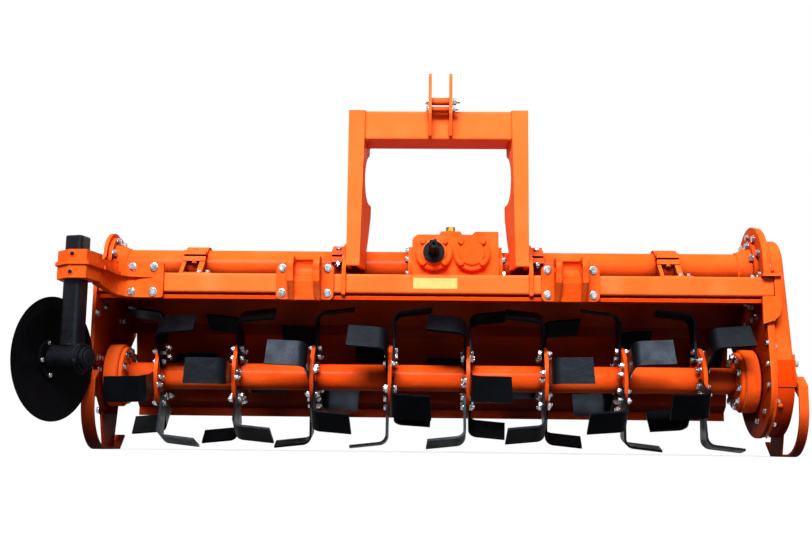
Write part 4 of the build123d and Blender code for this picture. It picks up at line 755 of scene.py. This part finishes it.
# ---------------------------------------------------------------- rotor
FLANGE_X = [-25.0 + (i - 3.5) * 260.0 for i in range(8)]
FLANGE_HALF = 6.0
BLADE_T = 8.0
BLADE_COUNT = 6  # to a flange
BOLT_RADII = (72.0, 98.0)
BOLT_SKEW = 10
BLADE_FIRST, BLADE_STEP = -14.6, 15.7  # degrees
ROTOR_WELD, HUB_WELD = (46, 36), (46.5, 36)  # radius and points of the ring
HUB_BOLTS = (80, 10, 0)

rotor_bolts = Shape("rotor_fasteners", "rotor", [zinc, weld], "zinc")
for i, x in enumerate(FLANGE_X):
    for k in range(BLADE_COUNT):
        a = math.radians(BLADE_FIRST + BLADE_STEP * i + 60 * k)
        out = Vector((0, -math.cos(a), math.sin(a)))
        side = -1 if k % 2 == 0 else 1
        across = X.cross(out) * (BOLT_SKEW * side)
        for radius, skew in zip(BOLT_RADII, (1, -1)):
            centre = Vector((x, ROTOR_Y, ROTOR_Z)) + out * radius + across * skew
            rotor_bolts.bolt(centre + X * side * (FLANGE_HALF + BLADE_T), X * side, 11.5)
            rotor_bolts.nut(centre - X * side * FLANGE_HALF, -X * side, 11.5, end=0.4)
    for side in (-1, 1):
        centre = (x + side * (FLANGE_HALF + 1), ROTOR_Y, ROTOR_Z)
        rotor_bolts.bead(circle(centre, X, *ROTOR_WELD), 6, 1, closed=True)
for node, side in (("rotor_hub_left", 1), ("rotor_hub_right", -1)):
    b = BOX[node]
    ring = b.x1 if side > 0 else b.x0
    for p in circle((ring, ROTOR_Y, ROTOR_Z), X * side, *HUB_BOLTS):
        rotor_bolts.bolt(p, X * side, 13)
    weld_ring = circle((ring + side, ROTOR_Y, ROTOR_Z), X, *HUB_WELD)
    rotor_bolts.bead(weld_ring, 7, 1, closed=True)
rotor_bolts.make()

# ---------------------------------------------------------------- skids
SKID_WEB_T = 8.0
SKID_REAR_BOLTS = {
    "skid_left": ((148, 130), (218, 130), (250, 176), (300, 262)),
    "skid_right": ((148, 130), (218, 130)),
}

skid_bolts = Shape("skid_fasteners", "frame", [zinc, weld], "zinc")
for node, side, face in (("skid_left", -1, left_wall.x0), ("skid_right", 1, case_x)):
    web = face + side * SKID_WEB_T
    for y, z in SKID_FRONT_BOLTS + SKID_REAR_BOLTS[node]:
        skid_bolts.bolt((web, y, z), X * side, 13)
    skid_bolts.bead([(web, -14, 200), (web, -14, 224)], 6, 1)
    skid_bolts.bead([(web, 196, 9), (web, 300, 9)], 6, 1)
skid_bolts.make()

# ---------------------------------------------------------------- hood and rear board
HOOD_RIB_X = (-690.0, -420.0, 420.0, 640.0)
HOOD_RIB = [(80, 546), (80, 572), (110, 576), (330, 576), (352, 546)]
RIB_HALF_T, RIB_T = 3, 6
LIP_Y, LIP_Z, LIP_EDGE_Z = (4, 76), 505, (495, 507.5)
HINGE_BOLT_X, HINGE_BOLT_APART = (-950.0, -25.0, 900.0), 46
HINGE_BOLT_OUT = Vector((0, 0.66, 0.75))
HINGE_Y, HINGE_Z = 458.0, 452.0
BOARD_FOOT_Y, BOARD_FOOT_Z = 530.0, 125.0
BOARD_RIB_X = (-700.0, -375.0, -50.0, 275.0, 600.0, 850.0)
RIB_START, RIB_END = 30.0, 270.0  # down the board from its hinge
BOARD_RIB = ((RIB_START, 4.5), (RIB_START + 26, 26), (RIB_END - 6, 26), (RIB_END, 4.5))

hood = BOX["hood"]
hood_trim = Shape("hood_ribs", "frame", [orange, weld, zinc, shaded_orange], "orange_paint")
for x in HOOD_RIB_X:
    hood_trim.plate(HOOD_RIB, x - RIB_HALF_T, RIB_T, "yz", 0, 1)


def along_hood(near, far):
    """Corners of a strip as long as the hood."""
    left, right = hood.x0 + 1, hood.x1 - 1
    return [(left, near), (left, far), (right, far), (right, near)]


# the lip strip and its edge wear the darker copy of the orange: painted shade
hood_trim.plate(along_hood(*LIP_Y), LIP_Z, 2.5, "xy", 3, 0.5)
hood_trim.plate(along_hood(*LIP_EDGE_Z), 5, -3, "xz", 3, 0.8)
for x in HINGE_BOLT_X:
    for dx in (-HINGE_BOLT_APART, HINGE_BOLT_APART):
        hood_trim.bolt((x + dx, 398, 516), HINGE_BOLT_OUT, 10, mat=2)
hood_trim.make()
fall = math.atan2(BOARD_FOOT_Y - HINGE_Y, HINGE_Z - BOARD_FOOT_Z)
down = Vector((0, math.sin(fall), -math.cos(fall)))
out = Vector((0, math.cos(fall), math.sin(fall)))


def on_board(x, along, off):
    return Vector((x, HINGE_Y, HINGE_Z)) + down * along + out * off


board_ribs = Shape("rear_board_ribs", "board", [orange, weld, zinc], "orange_paint")
for x in BOARD_RIB_X:
    corners = [on_board(0, along, off).yz for along, off in BOARD_RIB]
    board_ribs.plate(corners, x - RIB_HALF_T, RIB_T, "yz", 0, 0.8)
    foot = x + RIB_HALF_T
    board_ribs.bead([on_board(foot, RIB_START, 5), on_board(foot, RIB_END, 5)], 5, 1)
board_ribs.make()

# ---------------------------------------------------------------- disc coulter
DISC_ANGLE = math.radians(20)
AXLE = Vector((math.cos(DISC_ANGLE), -math.sin(DISC_ANGLE), 0))
SHANK_X, SHANK_Y, DISC_Z = left_wall.x1 - 4.0, -225.0, 275.0
DISC_AT = Vector((SHANK_X, SHANK_Y - 13.2, DISC_Z)) - AXLE * 79
DISC_FRONT_BOLTS, DISC_BACK_NUTS = (51, 5, 25), (54, 6, 15)
DISC_BACK = [(-6, 70), (0, 70), (3, 66), (5, 40), (9, 36), (9, 12)]
HUB_FLANGE = [(116, 43), (117, 47), (126, 47), (127, 45), (127, 43)]
HUB_FLANGE_BOLTS, HUB_FLANGE_OUT = (40, 5, 36), 126
HUB_CAP_BOLTS, HUB_CAP_OUT = (17, 4, 45), 148
SHANK_WELD, SHANK_WELD_UP = (33, 16), 41  # radius and points of the ring; above the axle
CLAMP_SCREWS = (
    (-1120, -281, 594, -Y), (-1124, -281, 538, -Y), (-1181, -214, 594, -X), (-1181, -214, 538, -X)
)

disc_bolts = Shape("disc_fasteners", "disc", [zinc, disc_black], "zinc")
for p in circle(DISC_AT + AXLE * 17, AXLE, *DISC_FRONT_BOLTS):
    disc_bolts.bolt(p, AXLE, 7.5)
disc_bolts.turned(DISC_AT - AXLE * 0.5, -AXLE, DISC_BACK, 48, 1)
for p in circle(DISC_AT - AXLE * 3, -AXLE, *DISC_BACK_NUTS):
    disc_bolts.nut(p, -AXLE, 9)
disc_bolts.make()
hub_trim = Shape("coulter_hub_trim", "coulter_post", [zinc, shank_black], "black_paint")
hub_trim.turned(DISC_AT, AXLE, HUB_FLANGE, 40, 1)
for p in circle(DISC_AT + AXLE * HUB_FLANGE_OUT, AXLE, *HUB_FLANGE_BOLTS):
    hub_trim.bolt(p, AXLE, 9, mat=1)
hub_trim.turned(DISC_AT + AXLE * HUB_CAP_OUT, AXLE, [(0, 27), (3, 27), (4, 24)], 32, 1)
for p in circle(DISC_AT + AXLE * HUB_CAP_OUT, AXLE, *HUB_CAP_BOLTS):
    hub_trim.bolt(p, AXLE, 6, washer=False)
shank_foot = (SHANK_X, SHANK_Y, DISC_Z + SHANK_WELD_UP)
hub_trim.bead(circle(shank_foot, Z, *SHANK_WELD), 9, 1, closed=True)
hub_trim.make()
clamp_screws = Shape(
    "coulter_clamp_screws", "frame", [shank_black, orange_cast], "black_paint"
)
for x, y, z, axis in CLAMP_SCREWS:
    clamp_screws.turned((x, y, z), axis, [(0, 11), (1.5, 11), (2.5, 8.5)], 24, 1)
    clamp_screws.turned((x, y, z), axis, [(2, 6.5), (4, 6.5), (5, 5.5)], 20, 0)
clamp_screws.make()

# ---------------------------------------------------------------- stage, light and camera
FLOOR_R, FLOOR_SIDES, FLOOR_Z = 60.0, 64, -0.0005
FLOOR_UNSEEN, FLOOR_SEEN = (0.12, 0.12, 0.12, 1), (0.85, 0.85, 0.85, 1)
GLOW_FROM, GLOW_TO, GLOW_LEAST = 1.6, 4.5, 0.72  # distances on the floor, and the nearer share
WHITE = (1, 1, 1, 1)
SKY_STRENGTH, SEEN_STRENGTH = 0.06, 1.0
LAMPS = (  # name, place, aim, size and power
    ("front_high", (-0.9, -7.1, 6.2), (0, 0, 0.5), (5.0, 3.0), 2000),
    ("front_low", (1.4, -6.0, 1.4), (0, 0, 0.5), (3.5, 1.5), 10),
    ("top", (0.2, 0.2, 4.6), (0, 0.1, 0.5), (5.0, 3.0), 40),
    ("rear", (0.8, 4.6, 3.2), (0, 0.2, 0.4), (4.0, 2.0), 100),
)


def background_rays(tree):
    """1 for the rays that see the background: straight, in a reflection or through glass."""
    rays = tree.nodes.new("ShaderNodeLightPath")
    seen = rays.outputs["Is Camera Ray"]
    for extra in ("Is Glossy Ray", "Is Transmission Ray"):
        either = tree.nodes.new("ShaderNodeMath")
        either.operation = "MAXIMUM"
        tree.links.new(seen, either.inputs[0])
        tree.links.new(rays.outputs[extra], either.inputs[1])
        seen = either.outputs[0]
    return seen


ground = Nodes("pale_floor")
seen = background_rays(ground.tree)
diffuse = ground.new("ShaderNodeBsdfDiffuse")
ground.link(ground.mix(seen, FLOOR_UNSEEN, FLOOR_SEEN), diffuse.inputs["Color"])
glow = ground.new("ShaderNodeEmission")
glow.inputs["Color"].default_value = WHITE
far = ground.new("ShaderNodeVectorMath", operation="LENGTH")
ground.link(ground.coord, far.inputs[0])
distance_share = ground.grey(far.outputs["Value"], GLOW_LEAST, 1.0, GLOW_FROM, GLOW_TO)
both = ground.new("ShaderNodeMixShader")
ground.link(ground.multiply(seen, distance_share), both.inputs[0])
ground.link(diffuse.outputs[0], both.inputs[1])
ground.link(glow.outputs[0], both.inputs[2])
ground.link(both.outputs[0], ground.out.inputs["Surface"])
mesh = bpy.data.meshes.new("floor")
turns = (2 * math.pi * k / FLOOR_SIDES for k in range(FLOOR_SIDES))
rim = [(FLOOR_R * math.cos(a), FLOOR_R * math.sin(a), FLOOR_Z) for a in turns]
mesh.from_pydata(rim, [], [list(range(FLOOR_SIDES))])
mesh.materials.append(ground.mat)
floor = bpy.data.objects.new("floor", mesh)
bpy.context.scene.collection.objects.link(floor)
floor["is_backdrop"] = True

world = bpy.data.worlds.new("studio")
bpy.context.scene.world = world
world.use_nodes = True
tree = world.node_tree
tree.nodes.clear()
seen = background_rays(tree)
swap = tree.nodes.new("ShaderNodeMixShader")
tree.links.new(seen, swap.inputs[0])
for socket, strength in ((1, SKY_STRENGTH), (2, SEEN_STRENGTH)):
    sky = tree.nodes.new("ShaderNodeBackground")
    sky.inputs["Color"].default_value = WHITE
    sky.inputs["Strength"].default_value = strength
    tree.links.new(sky.outputs[0], swap.inputs[socket])
end = tree.nodes.new("ShaderNodeOutputWorld")
tree.links.new(swap.outputs[0], end.inputs["Surface"])

for name, place, aim, size, power in LAMPS:
    data = bpy.data.lights.new(name, "AREA")
    data.shape = "RECTANGLE"
    data.size, data.size_y = size
    data.energy = power
    lamp = bpy.data.objects.new(name, data)
    lamp.location = place
    lamp.rotation_euler = (Vector(aim) - Vector(place)).to_track_quat("-Z", "Y").to_euler()
    lamp.visible_camera = False
    bpy.context.scene.collection.objects.link(lamp)

VIEW_WIDTH_PX = 812
FOCAL_PX = 1100.0
SENSOR_MM = 36.0
CAMERA_AT = (-12.0, -3580.0, 26.0)
PITCH, YAW, ROLL = math.radians(9.0), math.radians(1.46), math.radians(0.66)
camera = bpy.data.cameras.new("camera")
camera.sensor_width = SENSOR_MM
camera.lens = camera.sensor_width * FOCAL_PX / VIEW_WIDTH_PX
camera.clip_start, camera.clip_end = 0.05, 200
eye = bpy.data.objects.new("camera", camera)
bpy.context.scene.collection.objects.link(eye)
level = math.cos(PITCH)
ahead = Vector((-math.sin(YAW) * level, math.cos(YAW) * level, math.sin(PITCH)))
right = ahead.cross(Z).normalized()
up = right.cross(ahead)
right, up = (
    right * math.cos(ROLL) + up * math.sin(ROLL),
    up * math.cos(ROLL) - right * math.sin(ROLL),
)
pose = Matrix((right, up, -ahead)).transposed().to_4x4()
pose.translation = at(*CAMERA_AT)
eye.matrix_world = pose
bpy.context.scene.camera = eye
bpy.context.scene.view_settings.view_transform = "Standard"

low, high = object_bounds()
